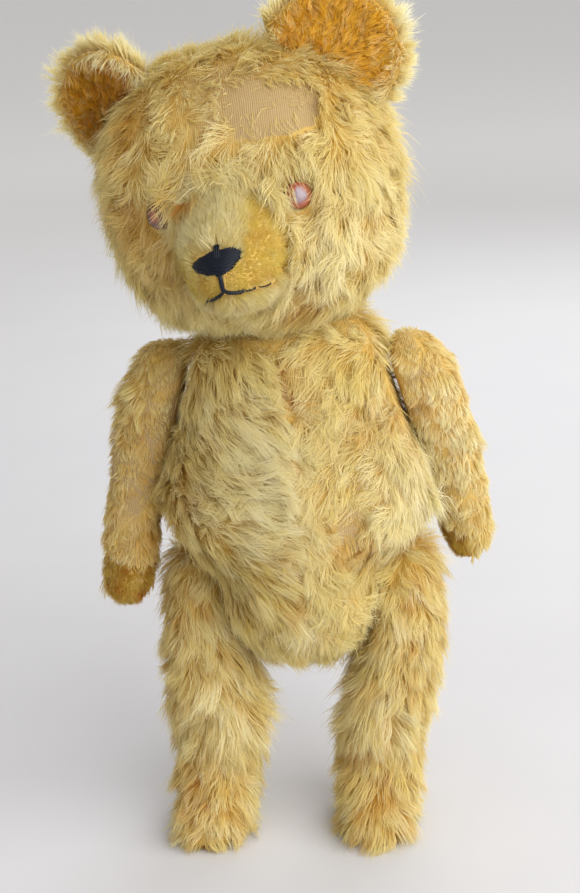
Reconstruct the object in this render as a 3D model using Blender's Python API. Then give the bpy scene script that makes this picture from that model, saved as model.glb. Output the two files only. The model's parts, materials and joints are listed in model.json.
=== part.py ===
"""A worn, five-way jointed teddy bear that stands on its soles.

Metres, +Z up. The origin is on the floor between the feet, and the bear faces -Y, so its
own left side is at +X. Cloth panels are thin shells round a stuffing. Each limb turns on
a split pin that clamps it to the torso between two fibre discs.
"""

import math

import bmesh
import bpy
import numpy as np
from mathutils import Matrix, Vector
from mathutils.bvhtree import BVHTree

MM = 0.001

# Cloth, stuffing and clearances
CLOTH = 1.2 * MM  # thickness of the woven backing with its pile pressed down
SEAM_GAP = 0.3 * MM  # between two panels that are sewn together
JOINT_GAP = 0.3 * MM  # between the torso's cloth and a limb's cloth
STUFFING_GAP = 1.0 * MM  # between the cloth and the stuffing
SEAT_GAP = 0.35 * MM  # between the head's cloth and what is sewn on to it

# Where the joints are, and how each axis leans
BODY_BACK = 21 * MM  # the torso stands this far back, so that the origin is mid-depth
NECK = Vector((-3 * MM, BODY_BACK, 235.5 * MM))
NECK_TILT = math.radians(7.5)  # the bear's left side of the head is the higher one
NECK_NOD = math.radians(4.5)
HEAD_TURN = math.radians(-8)  # towards the bear's right
SHOULDER = Vector((43.5 * MM, BODY_BACK, 206 * MM))
SHOULDER_LEAN = math.radians(15)  # the torso widens below the shoulder
HIP = Vector((31 * MM, BODY_BACK + 2 * MM, 112 * MM))
HIP_LEAN = math.radians(-10)  # the torso narrows below the hip
ARM_SWING = {"left": math.radians(-20), "right": math.radians(4)}  # + is forwards
FLAT_REACH = 66 * MM  # a limb keeps to its joint's plane this far from the joint
FLAT_FADE = 12 * MM
LEG_LEAN = math.tan(math.radians(5.5))  # both legs lean towards the bear's right
LEAN_START = 95 * MM

# Joint hardware
PIN_HOLE = 1.9 * MM
DISC_RADIUS = {"neck": 16 * MM, "shoulder": 10.5 * MM, "hip": 12 * MM}
DISC_THICK = 2.0 * MM
ROUND_SIDES = 16  # facets round every turned piece, hole and pocket
WASHER_RADIUS = 6 * MM
WASHER_THICK = 0.8 * MM
PIN_WIRE = 0.75 * MM  # radius of the half-round wire that the pin is bent from
PART_GAP = 0.3 * MM
POCKET_ROOM = 0.5 * MM  # between the hardware and the stuffing round it
PIN_SPLIT = 0.15 * MM  # from the pin's middle plane to either leg
PIN_CURL = 2.2 * MM
PIN_EYE = 2.4 * MM
PIN_TAIL = 3.2 * MM  # how far the curled legs reach past their washer
PIN_TOP = 1.2 * PIN_EYE  # from the shank's end to the middle of the eye

# Head, in its own frame: origin at the neck joint, +Z along the neck's axis
SKULL_CENTRE = Vector((0, 0, 54 * MM))
SKULL_HALF_WIDTH = 58 * MM
SKULL_FRONT = 47 * MM
SKULL_BACK = 50 * MM
SKULL_UP = 56 * MM
SKULL_DOWN = 57 * MM
SKULL_SQUARENESS = 2.5
MUZZLE_CENTRE = Vector((1.5 * MM, -48 * MM, 41 * MM))
MUZZLE_HALF = (21.5 * MM, 36 * MM, 21 * MM)
MUZZLE_BLEND = 10  # how sharply the muzzle leaves the face
HEAD_CROWDING = 1.35  # above 1, the head's rings stand closer together on the muzzle
MUZZLE_RINGS = 3  # rings of the head's grid that the muzzle takes up
GUSSET_HALF_COLUMNS = 2

# Ears
EARS = {
    # lean from the crown, turn outwards, half of the base's arc, height, cup
    "left": (math.radians(42), math.radians(2), math.radians(24), 27 * MM, 7 * MM),
    "right": (math.radians(-51), math.radians(20), math.radians(22), 26 * MM, 8 * MM),
}
EAR_BACK_SET = math.radians(-2)  # how far behind the crown's line the ears stand
EAR_GRID = (4, 12)

# Eyes, nose and mouth
EYE_AT = (27 * MM, 58 * MM)  # across and up, in the head's frame
EYE_RADIUS = 5.6 * MM
EYE_DOME = 4.3 * MM
EYE_EDGE = 0.6 * MM  # height of the rim under the dome
SHANK_RADIUS = 0.7 * MM
SHANK_LENGTH = 7 * MM
SHANK_ROOM = 0.4 * MM  # between the shank and the hole for it
NOSE_MIDDLE = 0.8 * MM  # towards the bear's left
NOSE_TOP = 50.5 * MM
NOSE_HEIGHT = 8.2 * MM
NOSE_HALF_WIDTH = 9.6 * MM
NOSE_THICK = 1.5 * MM
NOSE_POINT = 0.35  # the nose's width at its foot, as a share of its width at the top
NOSE_GRID = (8, 12)
FLOSS_RADIUS = 0.6 * MM
FLOSS_CLEAR = 0.15 * MM  # more than the seat gap, because a stitch is straight between holes
MOUTH_STITCHES = [
    # (across, up) of each end, in millimetres
    ((2.6, 41), (2, 34)),
    ((2, 34), (-5.3, 31)),
    ((2, 34), (12.5, 32.5)),
]

# How finely each surface is divided
LONGEST_STEP = 14 * MM
TORSO_COLUMNS = 24
ARM_COLUMNS = 12
LEG_COLUMNS = 16
HEAD_GRID = (17, 24)

# Sizes down the torso: height, half width, how far forwards, how far back
TORSO_SIZES = [
    (241, 21, 19, 19),
    (234, 31, 26, 26),
    (221, 43, 34, 33.5),
    (205, 47.5, 39, 37),
    (185, 51, 43, 39),
    (168, 55, 49, 41),
    (154, 55, 52, 42),
    (143, 44, 52, 41.5),
    (134, 36, 50, 40),
    (121, 34.5, 46, 38),
    (104, 31.5, 39, 33),
    (90, 22, 26, 24),
    (82, 11, 13, 12),
]

# Sizes down an arm, from its shoulder joint: distance down, inner and outer face along
# the joint's axis, how far forwards, how far back
ARM_SIZES = [
    (-17, 2, 15.5, 8, 8),
    (-12, -3.5, 22, 14, 14),
    (0, -5, 26, 18, 18),
    (20, -3, 27.5, 17.5, 17.5),
    (42, -1, 26.5, 17, 15.5),
    (62, -1.5, 24, 17.5, 12.5),
    (78, -3, 22, 19, 10),
    (90, -3, 20.5, 20, 8),
    (97, 0, 17, 17, 3),
]

# Sizes down a leg: height, inner and outer face, how far forwards, how far back
LEG_SIZES = [
    (134, 39, 51, 7, 12),
    (129, 31, 55.5, 15.5, 19),
    (112, 26, 58.5, 23, 26),
    (92, 25, 59.5, 24.5, 25),
    (70, 22, 58.5, 22.5, 22),
    (50, 20, 55.5, 20.5, 20),
    (36, 20, 54, 21, 19.5),
    (25, 20.5, 53.5, 27, 19),
    (15, 21, 53, 34, 18.5),
    (7, 21.5, 52.5, 37, 18),
    (1.8, 22, 52, 37, 17.8),
    (0, 23.5, 50.5, 35.5, 16.3),
]
SECTION_SQUARENESS = 2.35
TORSO_TOP = 6 * MM  # above the neck joint
TORSO_BOTTOM = 79.5 * MM

# Where each limb's surface closes: outwards, along (back is +), then down or height
ARM_TOP = (9, 0, -19)
ARM_TIP = (8.5, -8, 99.5)
LEG_TOP = (45, 3, 136)
LEG_SOLE = (37, -9, 0)
PAW_PAD_START = 72 * MM
PAW_PAD_COLUMNS = {"left": (8, 9, 10, 11), "right": (9, 10, 11, 0, 1)}

SIDES = {"left": 1, "right": -1}
UP = Vector((0, 0, 1))
FORWARDS = Vector((0, -1, 0))


def clear_scene():
    """Removes whatever the file opened with."""
    for thing in list(bpy.data.objects):
        bpy.data.objects.remove(thing)


def material(name, colour, roughness, metallic=0.0):
    """A plain finish for one kind of material."""
    made = bpy.data.materials.new(name)
    made.use_nodes = True
    shader = made.node_tree.nodes["Principled BSDF"]
    shader.inputs["Base Color"].default_value = (*colour, 1)
    shader.inputs["Roughness"].default_value = roughness
    shader.inputs["Metallic"].default_value = metallic
    return made


def finishes():
    """Every material of the bear, by its plain name."""
    return {
        "mohair": material("mohair", (0.72, 0.52, 0.25), 0.9),
        "short_pile": material("short_pile", (0.68, 0.40, 0.11), 0.9),
        "wood_wool": material("wood_wool", (0.60, 0.45, 0.25), 0.95),
        "glass": material("glass", (0.25, 0.07, 0.03), 0.1),
        "floss": material("floss", (0.01, 0.015, 0.03), 0.6),
        "fibreboard": material("fibreboard", (0.30, 0.19, 0.10), 0.85),
        "steel": material("steel", (0.55, 0.55, 0.55), 0.4, 1.0),
    }


# ---- Surfaces as grids of rings ----


def rows_through(sizes, longest):
    """Rows of a smooth curve through a list of sizes, in metres, none further apart
    than longest."""
    knots = np.array(sizes, float) * MM
    steps = np.linalg.norm(np.diff(knots, axis=0), axis=1)
    reach = np.concatenate([[0], np.cumsum(steps)])
    slopes = np.gradient(knots, reach, axis=0)
    rows = [knots[0]]
    for i, step in enumerate(steps):
        parts = math.ceil(step / longest)
        for part in range(1, parts + 1):
            t = part / parts
            rows.append(
                (2 * t**3 - 3 * t**2 + 1) * knots[i]
                + (t**3 - 2 * t**2 + t) * step * slopes[i]
                + (3 * t**2 - 2 * t**3) * knots[i + 1]
                + (t**3 - t**2) * step * slopes[i + 1]
            )
    return np.array(rows)


def rounded(value, squareness):
    """A sine or cosine, filled out so that a section is squarer than an ellipse."""
    return math.copysign(abs(value) ** (2 / squareness), value)


def ring(across, along, columns):
    """One section: across and along are its (low, high) sizes. It starts at along's low
    side and turns towards across's high side."""
    middle = ((across[0] + across[1]) / 2, (along[0] + along[1]) / 2)
    half = ((across[1] - across[0]) / 2, (along[1] - along[0]) / 2)
    points = []
    for column in range(columns):
        turn = 2 * math.pi * column / columns
        points.append(
            (
                middle[0] + half[0] * rounded(math.sin(turn), SECTION_SQUARENESS),
                middle[1] - half[1] * rounded(math.cos(turn), SECTION_SQUARENESS),
            )
        )
    return points


def press_flat(points, centre, outward, gap):
    """Moves every point that lies beyond a joint's plane back on to that plane."""
    beyond = (points - np.array(centre)) @ np.array(outward) + gap
    return points - np.maximum(beyond, 0)[..., None] * np.array(outward)


def lie_against(grid, joint):
    """Presses a limb flat on its joint's plane, less and less at the end of the flat."""
    centre = joint.translation
    flat = press_flat(grid, centre, -joint.col[2].to_3d(), JOINT_GAP / 2)
    distance = np.linalg.norm(grid - np.array(centre), axis=2)
    share = np.clip((FLAT_REACH - distance) / FLAT_FADE, 0, 1)
    return grid + (flat - grid) * share[..., None]


def faces_of(rings, columns):
    """(row, column, corners) of each face of a closed grid. Points are numbered ring by
    ring, then the start pole and the end pole, whose fans are rows -1 and rings - 1."""
    start, end = rings * columns, rings * columns + 1
    made = []
    for column in range(columns):
        after = (column + 1) % columns
        made.append((-1, column, (start, column, after)))
        for row in range(rings - 1):
            low, high = row * columns, (row + 1) * columns
            made.append((row, column, (low + column, high + column, high + after, low + after)))
        last = (rings - 1) * columns
        made.append((rings - 1, column, (last + column, end, last + after)))
    return made


def in_triangles(points, faces):
    """The faces, with each one of four corners split along its shorter diagonal."""
    made = []
    for row, column, corners in faces:
        if len(corners) == 3:
            made.append((row, column, corners))
            continue
        a, b, c, d = corners
        if np.linalg.norm(points[a] - points[c]) > np.linalg.norm(points[b] - points[d]):
            a, b, c, d = b, c, d, a
        made += [(row, column, (a, b, c)), (row, column, (a, c, d))]
    return made


def closed_surface(grid, start, end):
    """(points, faces) of a closed surface through a grid of rings and its two poles,
    with every face turned outwards."""
    rings, columns = grid.shape[:2]
    points = np.concatenate([grid.reshape(-1, 3), [start, end]])
    faces = in_triangles(points, faces_of(rings, columns))
    volume = 0
    for _, _, (a, b, c) in faces:
        volume += np.dot(points[a], np.cross(points[b], points[c]))
    if volume < 0:
        faces = [(row, column, corners[::-1]) for row, column, corners in faces]
    return points, faces


def moved(surface, matrix):
    """A surface placed by a matrix."""
    points, faces = surface
    turned = points @ np.array(matrix.to_3x3()).T + np.array(matrix.translation)
    return turned, faces


# ---- Objects ----


def add_object(name, mesh, finish, parent):
    """Links a mesh as a named object with its finish, under its body's empty."""
    mesh.materials.append(finish)
    made = bpy.data.objects.new(name, mesh)
    bpy.context.scene.collection.objects.link(made)
    if parent:
        made.parent = parent
        made.matrix_parent_inverse = parent.matrix_world.inverted()
    return made


def mesh_of(name, points, faces):
    """A mesh that holds only the points that its faces use."""
    used = sorted({i for corners in faces for i in corners})
    number = {old: new for new, old in enumerate(used)}
    mesh = bpy.data.meshes.new(name)
    mesh.from_pydata(
        [tuple(points[i]) for i in used],
        [],
        [[number[i] for i in corners] for corners in faces],
    )
    return mesh


def surface_normals(surface):
    """The outward normal at each point of a closed surface."""
    points, faces = surface
    mesh = mesh_of("normals", points, [corners for _, _, corners in faces])
    normals = np.array([tuple(corner.normal) for corner in mesh.vertices])
    bpy.data.meshes.remove(mesh)
    return normals


def steps_inwards(points, faces):
    """For each point on the edge of a patch of faces, the way to the patch's inside."""
    sides = {}
    for corners in faces:
        for pair in zip(corners, corners[1:] + corners[:1]):
            sides.setdefault(frozenset(pair), []).append(corners)
    rim = {i for pair, owners in sides.items() if len(owners) == 1 for i in pair}
    steps = {}
    for i in rim:
        around = [points[list(corners)].mean(axis=0) for corners in faces if i in corners]
        way = np.mean(around, axis=0) - points[i]
        steps[i] = way / np.linalg.norm(way)
    return steps


def panel(name, surface, belongs, finish, parent):
    """A cloth panel: those faces of a surface that belong to it, made CLOTH thick and
    drawn in by half a seam gap round its edge."""
    points, faces = surface
    chosen = [corners for row, column, corners in faces if belongs(row, column)]
    outer = points.copy()
    for i, step in steps_inwards(points, chosen).items():
        outer[i] += step * SEAM_GAP / 2
    inner = outer - surface_normals(surface) * CLOTH
    below = len(points)
    solid = list(chosen)
    solid += [tuple(below + i for i in corners[::-1]) for corners in chosen]
    edges = {pair for corners in chosen for pair in zip(corners, corners[1:] + corners[:1])}
    rim = sorted((a, b) for a, b in edges if (b, a) not in edges)
    solid += [(b, a, below + a, below + b) for a, b in rim]
    mesh = mesh_of(name, np.concatenate([outer, inner]), solid)
    mesh.shade_smooth()
    mesh.set_sharp_from_angle(angle=math.radians(50))
    return add_object(name, mesh, finish, parent)


def stuffing(name, surface, finish, parent):
    """The filling inside a surface's cloth."""
    points, faces = surface
    mesh = mesh_of(name, points, [corners for _, _, corners in faces])
    made = add_object(name, mesh, finish, parent)
    shrink = made.modifiers.new("inside_the_cloth", "DISPLACE")
    shrink.mid_level = 0
    shrink.strength = -(CLOTH + STUFFING_GAP)
    return made


def lathe(name, outline, sides, place):
    """A turned mesh: an outline of (radius, height) spun once round Z. An outline that
    starts and ends on the axis stays open there, and any other is a closed loop."""
    made = bmesh.new()
    corners = [made.verts.new((radius, 0, height)) for radius, height in outline]
    edges = [made.edges.new(pair) for pair in zip(corners, corners[1:])]
    if outline[0][0] > 0:
        edges.append(made.edges.new((corners[-1], corners[0])))
    bmesh.ops.spin(
        made,
        geom=corners + edges,
        axis=(0, 0, 1),
        cent=(0, 0, 0),
        steps=sides,
        angle=2 * math.pi,
        use_merge=True,
    )
    bmesh.ops.remove_doubles(made, verts=made.verts, dist=1e-6)
    bmesh.ops.recalc_face_normals(made, faces=made.faces)
    mesh = bpy.data.meshes.new(name)
    made.to_mesh(mesh)
    made.free()
    mesh.transform(place)
    mesh.shade_smooth()
    mesh.set_sharp_from_angle(angle=math.radians(40))
    return mesh


def cut(target, radius, low, high, place, name):
    """Cuts a round hole or pocket from low to high along a joint's axis."""
    outline = [(0, low), (radius, low), (radius, high), (0, high)]
    tool = bpy.data.objects.new(name, lathe(name, outline, ROUND_SIDES, place))
    bpy.context.scene.collection.objects.link(tool)
    tool.hide_render = True
    tool.display_type = "WIRE"
    hole = target.modifiers.new(name, "BOOLEAN")
    hole.operation = "DIFFERENCE"
    hole.solver = "EXACT"
    hole.object = tool


def thread(name, route, radius):
    """A wire or thread: a six-sided tube along a route of points, closed at both ends."""
    line = bpy.data.curves.new(name, "CURVE")
    line.dimensions = "3D"
    line.bevel_depth = radius
    line.bevel_resolution = 1
    line.use_fill_caps = True
    spline = line.splines.new("POLY")
    spline.points.add(len(route) - 1)
    for point, at in zip(spline.points, route):
        point.co = (*at, 1)
    return line


# ---- Joints and their hardware ----


def joint_empty(name, place):
    """The pivot that a moving body hangs from, with its Z along the joint's axis."""
    made = bpy.data.objects.new(name, None)
    made.empty_display_size = 0.02
    made.matrix_world = place
    bpy.context.scene.collection.objects.link(made)
    bpy.context.view_layer.update()
    return made


def frame_along(centre, outward, forwards):
    """A frame at centre with +Z along outward and -Y as near as can be to forwards."""
    z = outward.normalized()
    x = (-forwards).cross(z).normalized()
    y = z.cross(x)
    rotation = Matrix((x, y, z)).transposed().to_4x4()
    return Matrix.Translation(centre) @ rotation


def split_pin(name, seat, finish, parent, place):
    """One bent wire: a curl, a leg, the eye at the top, the other leg and its curl."""
    beside = PIN_WIRE + PIN_SPLIT
    low = -seat - PIN_TAIL
    leg = []
    for step in range(5):
        turn = math.radians(200) * (1 - step / 4)
        across = beside + PIN_CURL * (1 - math.cos(turn))
        leg.append((across, low + PIN_CURL * (1 - math.sin(turn))))
    leg.append((beside, seat))
    head = []
    for step in range(1, 6):
        turn = math.radians(-50 + 280 * step / 6)
        head.append((PIN_EYE * math.cos(turn), seat + PIN_TOP + PIN_EYE * math.sin(turn)))
    other = [(-across, height) for across, height in reversed(leg)]
    route = [place @ Vector((across, 0, height)) for across, height in leg + head + other]
    return add_object(name, thread(name, route, PIN_WIRE), finish, parent)


def joint_hardware(name, kind, place, limb, finish):
    """Discs, washers and pin of one joint. The limb is on the axis's + side."""
    radius = DISC_RADIUS[kind]
    depth = JOINT_GAP / 2 + CLOTH + STUFFING_GAP
    behind = depth + DISC_THICK + PART_GAP
    for body, side, parent in (("outer", 1, limb), ("torso", -1, None)):
        for part, size, near, thick in (
            ("disc", radius, depth, DISC_THICK),
            ("washer", WASHER_RADIUS, behind, WASHER_THICK),
        ):
            low = near * side
            high = (near + thick) * side
            shape = [(PIN_HOLE, low), (size, low), (size, high), (PIN_HOLE, high)]
            mesh = lathe(f"{name}_{body}_{part}", shape, ROUND_SIDES, place)
            slot = finish["fibreboard"] if part == "disc" else finish["steel"]
            add_object(f"{name}_{body}_{part}", mesh, slot, parent)
    seat = behind + WASHER_THICK + PART_GAP + PIN_WIRE
    split_pin(f"{name}_pin", seat, finish["steel"], limb, place)
    return seat


def fit_joint(name, kind, place, limb, finish, cloths, limb_filling, torso_filling):
    """The hardware, the pin holes through the cloth and the pockets in the stuffing."""
    seat = joint_hardware(name, kind, place, limb, finish)
    radius = DISC_RADIUS[kind] + POCKET_ROOM
    room = PIN_WIRE + POCKET_ROOM
    for cloth in cloths:
        cut(cloth, PIN_HOLE, -4 * MM, 4 * MM, place, f"{name}_hole_{cloth.name}")
    cut(limb_filling, radius, 0, seat + PIN_TOP + PIN_EYE + room, place, f"{name}_outer_pocket")
    cut(torso_filling, radius, -(seat + PIN_TAIL + room), 0, place, f"{name}_torso_pocket")


def shoulder_place(side):
    """The shoulder joint's frame: +Z points out of the torso, -Y forwards."""
    sign = SIDES[side]
    outward = Vector((sign * math.cos(SHOULDER_LEAN), 0, math.sin(SHOULDER_LEAN)))
    centre = Vector((sign * SHOULDER.x, SHOULDER.y, SHOULDER.z))
    return frame_along(centre, outward, FORWARDS)


def hip_place(side):
    """The hip joint's frame: +Z points out of the torso, -Y forwards."""
    sign = SIDES[side]
    outward = Vector((sign * math.cos(HIP_LEAN), 0, math.sin(HIP_LEAN)))
    centre = Vector((sign * HIP.x, HIP.y, HIP.z))
    return frame_along(centre, outward, FORWARDS)


def neck_place():
    """The neck joint's frame: +Z up the neck, -Y where the face looks."""
    tilt = Matrix.Rotation(-NECK_TILT, 4, "Y")
    nod = Matrix.Rotation(NECK_NOD, 4, "X")
    turn = Matrix.Rotation(HEAD_TURN, 4, "Z")
    return Matrix.Translation(NECK) @ tilt @ nod @ turn


# ---- Torso ----


def torso_surface():
    """A pear that is pressed flat where the neck and the limbs are clamped to it."""
    grid = []
    for height, half, front, back in rows_through(TORSO_SIZES, LONGEST_STEP):
        section = ring((-half, half), (-front, back), TORSO_COLUMNS)
        grid.append([(across, BODY_BACK + along, height) for across, along in section])
    grid = np.array(grid)
    top = np.array((NECK.x, NECK.y, NECK.z + TORSO_TOP))
    bottom = np.array((0, BODY_BACK, TORSO_BOTTOM))
    neck = neck_place()
    presses = [(neck.translation, neck.col[2].to_3d(), JOINT_GAP / 2)]
    for side in SIDES:
        place = shoulder_place(side)
        presses.append((place.translation, place.col[2].to_3d(), JOINT_GAP / 2))
    for centre, outward, gap in presses:
        grid = press_flat(grid, centre, outward, gap)
        top = press_flat(top[None], centre, outward, gap)[0]
    below = grid[..., 2] < HIP.z + 26 * MM
    for side in SIDES:
        place = hip_place(side)
        flat = press_flat(grid, place.translation, place.col[2].to_3d(), JOINT_GAP / 2)
        grid = np.where(below[..., None], flat, grid)
    return closed_surface(grid, top, bottom)


def make_torso(finish):
    """Two cloth halves, sewn at the centre front and back, and the stuffing."""
    surface = torso_surface()
    half = TORSO_COLUMNS // 2

    def on_left(row, column):
        return column < half

    def on_right(row, column):
        return column >= half

    return {
        "left": panel("torso_left", surface, on_left, finish["mohair"], None),
        "right": panel("torso_right", surface, on_right, finish["mohair"], None),
        "stuffing": stuffing("torso_stuffing", surface, finish["wood_wool"], None),
    }


# ---- Head ----


def skull_reach(way):
    """Distance from the skull's centre to its surface along a unit direction."""
    half = (
        SKULL_HALF_WIDTH,
        SKULL_FRONT if way[1] < 0 else SKULL_BACK,
        SKULL_UP if way[2] > 0 else SKULL_DOWN,
    )
    n = SKULL_SQUARENESS
    return sum(abs(part / size) ** n for part, size in zip(way, half)) ** (-1 / n)


def muzzle_reach(way):
    """Distance from the skull's centre to the muzzle's far side, or 0 beside it."""
    scale = np.array(MUZZLE_HALF)
    start = np.array(SKULL_CENTRE - MUZZLE_CENTRE) / scale
    along = np.array(way) / scale
    a, b, c = along @ along, start @ along, start @ start - 1
    inside = b * b - a * c
    return max((-b + math.sqrt(inside)) / a, 0) if inside > 0 else 0


def head_point(way):
    """The head's surface along a direction, with the muzzle blended into the face."""
    way = way.normalized()
    p = MUZZLE_BLEND
    reach = (skull_reach(way) ** p + muzzle_reach(way) ** p) ** (1 / p)
    return SKULL_CENTRE + way * reach


def head_surface():
    """Rings round the line from the skull's centre to the tip of the muzzle, closer
    together on the muzzle. A column's turn is 0 at the top of the head."""
    rings, columns = HEAD_GRID
    tip = (MUZZLE_CENTRE + FORWARDS * MUZZLE_HALF[1] - SKULL_CENTRE).normalized()
    side = Vector((1, 0, 0))
    over = side.cross(tip)
    grid = []
    for row in range(1, rings + 1):
        spread = math.pi * (row / (rings + 1)) ** HEAD_CROWDING
        points = []
        for column in range(columns):
            turn = 2 * math.pi * column / columns
            rim = over * -math.cos(turn) + side * math.sin(turn)
            points.append(head_point(tip * math.cos(spread) + rim * math.sin(spread)))
        grid.append(points)
    under = (Vector((0, 0, 0)), -UP, JOINT_GAP / 2)
    grid = press_flat(np.array(grid), *under)
    return closed_surface(grid, np.array(head_point(tip)), np.array(head_point(-tip)))


def make_head(finish, pivot):
    """Muzzle, gusset, two side panels and the stuffing."""
    surface = moved(head_surface(), neck_place())
    columns = HEAD_GRID[1]

    def in_gusset(column):
        return column < GUSSET_HALF_COLUMNS or column >= columns - GUSSET_HALF_COLUMNS

    def in_muzzle(row, column):
        return row < MUZZLE_RINGS

    def in_top(row, column):
        return row >= MUZZLE_RINGS and in_gusset(column)

    def in_left(row, column):
        return row >= MUZZLE_RINGS and not in_gusset(column) and column < columns // 2

    def in_right(row, column):
        return row >= MUZZLE_RINGS and not in_gusset(column) and column >= columns // 2

    mohair = finish["mohair"]
    return {
        "muzzle": panel("muzzle", surface, in_muzzle, finish["short_pile"], pivot),
        "gusset": panel("head_gusset", surface, in_top, mohair, pivot),
        "left": panel("head_side_left", surface, in_left, mohair, pivot),
        "right": panel("head_side_right", surface, in_right, mohair, pivot),
        "stuffing": stuffing("head_stuffing", surface, finish["wood_wool"], pivot),
        "surface": surface,
    }


def ear_point(side, across, up, lift):
    """A point of an ear: across runs -1 to 1 along its base, up from 0 to 1, and lift
    moves it along the way that the ear faces."""
    lean, turn, arc, height, cup = EARS[side]
    sign = SIDES[side]
    middle = Vector((math.sin(lean), math.sin(EAR_BACK_SET), math.cos(lean))).normalized()
    frontal = (FORWARDS.cross(middle)).normalized()
    if frontal.x * sign < 0:
        frontal = -frontal
    facing = middle.cross(frontal).normalized()
    if facing.y > 0:
        facing = -facing
    along = frontal * math.cos(turn) - facing * math.sin(turn)
    face = facing * math.cos(turn) + frontal * math.sin(turn)
    way = middle * math.cos(across * arc) + along * math.sin(across * arc)
    base = head_point(way)
    bowl = cup * (1 - across * across) * (1 - (1 - up) ** 2) - 0.35 * cup * up
    return base + way * (SEAT_GAP + up * height) + face * (lift - bowl)


def make_ear(side, finish, pivot):
    """Lining and back: two half discs, cupped, sewn along their round edge."""
    rings, spokes = EAR_GRID
    place = neck_place()
    for kind, facing in (("lining", 1), ("back", -1)):
        points = [place @ ear_point(side, 0, 0, facing * SEAM_GAP / 2)]
        for row in range(1, rings + 1):
            for spoke in range(spokes + 1):
                turn = math.pi * spoke / spokes
                across = row / rings * math.cos(turn)
                up = row / rings * math.sin(turn)
                points.append(place @ ear_point(side, across, up, facing * SEAM_GAP / 2))
        width = spokes + 1
        faces = [(0, 1 + spoke, 2 + spoke) for spoke in range(spokes)]
        for row in range(rings - 1):
            for spoke in range(spokes):
                low = 1 + row * width + spoke
                high = low + width
                faces.append((low, high, high + 1, low + 1))
        name = f"ear_{kind}_{side}"
        mesh = mesh_of(name, points, faces)
        mesh.shade_smooth()
        slot = finish["short_pile"] if kind == "lining" else finish["mohair"]
        made = add_object(name, mesh, slot, pivot)
        thick = made.modifiers.new("cloth", "SOLIDIFY")
        thick.thickness = CLOTH
        faces_front = mesh.polygons[0].normal.dot(place.to_3x3() @ FORWARDS) > 0
        thick.offset = facing if faces_front else -facing


def head_tree(surface):
    """The head's outer surface, for seating the face on it."""
    points, faces = surface
    return BVHTree.FromPolygons([Vector(p) for p in points], [c for _, _, c in faces])


def on_face(tree, across, up):
    """Where a line from straight ahead meets the face, and the face's normal there."""
    place = neck_place()
    start = place @ Vector((across, -200 * MM, up))
    hit, normal, _, _ = tree.ray_cast(start, place.to_3x3() @ -FORWARDS)
    return hit, normal


def eye_seat(side, tree):
    """The eye's frame: its flat back rests on the highest part of the face under it."""
    across, up = SIDES[side] * EYE_AT[0], EYE_AT[1]
    middle, _ = on_face(tree, across, up)
    under = []
    for step in range(8):
        turn = 2 * math.pi * step / 8
        near = EYE_RADIUS * math.cos(turn), EYE_RADIUS * math.sin(turn)
        under.append(on_face(tree, across + near[0], up + near[1]))
    outward = sum((normal for _, normal in under), Vector()).normalized()
    lift = max((hit - middle).dot(outward) for hit, _ in under)
    return frame_along(middle + outward * (max(lift, 0) + SEAT_GAP), outward, UP)


def make_eye(side, finish, pivot, tree, head):
    """A domed glass eye on a wire shank that goes through the cloth."""
    place = eye_seat(side, tree)
    dome = [(0, -SHANK_LENGTH), (SHANK_RADIUS, -SHANK_LENGTH), (SHANK_RADIUS, 0)]
    dome += [(EYE_RADIUS - EYE_EDGE / 2, 0), (EYE_RADIUS, EYE_EDGE)]
    for step in range(1, 5):
        turn = math.radians(90 * step / 4)
        rise = EYE_EDGE + (EYE_DOME - EYE_EDGE) * math.sin(turn)
        dome.append((EYE_RADIUS * math.cos(turn), rise))
    add_object(f"eye_{side}", lathe(f"eye_{side}", dome, 16, place), finish["glass"], pivot)
    bore = SHANK_RADIUS + SHANK_ROOM
    cut(head[side], bore, -3 * MM, 1 * MM, place, f"eye_hole_{side}")
    cut(head["stuffing"], bore, -(SHANK_LENGTH + 1 * MM), 2 * MM, place, f"eye_pocket_{side}")


def make_nose(finish, pivot, tree):
    """A wide triangle of satin stitch over the tip of the muzzle."""
    rows, columns = NOSE_GRID
    points = []
    for row in range(rows + 1):
        down = row / rows
        taper = math.cos(math.pi / 2 * down**1.6)
        half = NOSE_HALF_WIDTH * (NOSE_POINT + (1 - NOSE_POINT) * taper)
        for column in range(columns + 1):
            across = (2 * column / columns - 1) * half
            up = NOSE_TOP - NOSE_HEIGHT * down
            hit, normal = on_face(tree, NOSE_MIDDLE + across, up)
            points.append(hit + normal * SEAT_GAP)
    width = columns + 1
    faces = []
    for row in range(rows):
        for column in range(columns):
            low = row * width + column
            faces.append((low, low + 1, low + width + 1, low + width))
    mesh = mesh_of("nose", points, faces)
    mesh.shade_smooth()
    made = add_object("nose", mesh, finish["floss"], pivot)
    thick = made.modifiers.new("stitches", "SOLIDIFY")
    thick.thickness = NOSE_THICK
    ahead = neck_place().to_3x3() @ FORWARDS
    thick.offset = 1 if mesh.polygons[0].normal.dot(ahead) > 0 else -1


def floss_stitch(name, ends, finish, pivot, tree):
    """A thread laid over the muzzle from one hole to the next."""
    steps = 5
    route = []
    for step in range(steps + 1):
        t = step / steps
        across = (ends[0][0] * (1 - t) + ends[1][0] * t) * MM
        up = (ends[0][1] * (1 - t) + ends[1][1] * t) * MM
        hit, normal = on_face(tree, across, up)
        route.append(hit + normal * (SEAT_GAP + FLOSS_RADIUS + FLOSS_CLEAR))
    return add_object(name, thread(name, route, FLOSS_RADIUS), finish, pivot)


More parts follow.
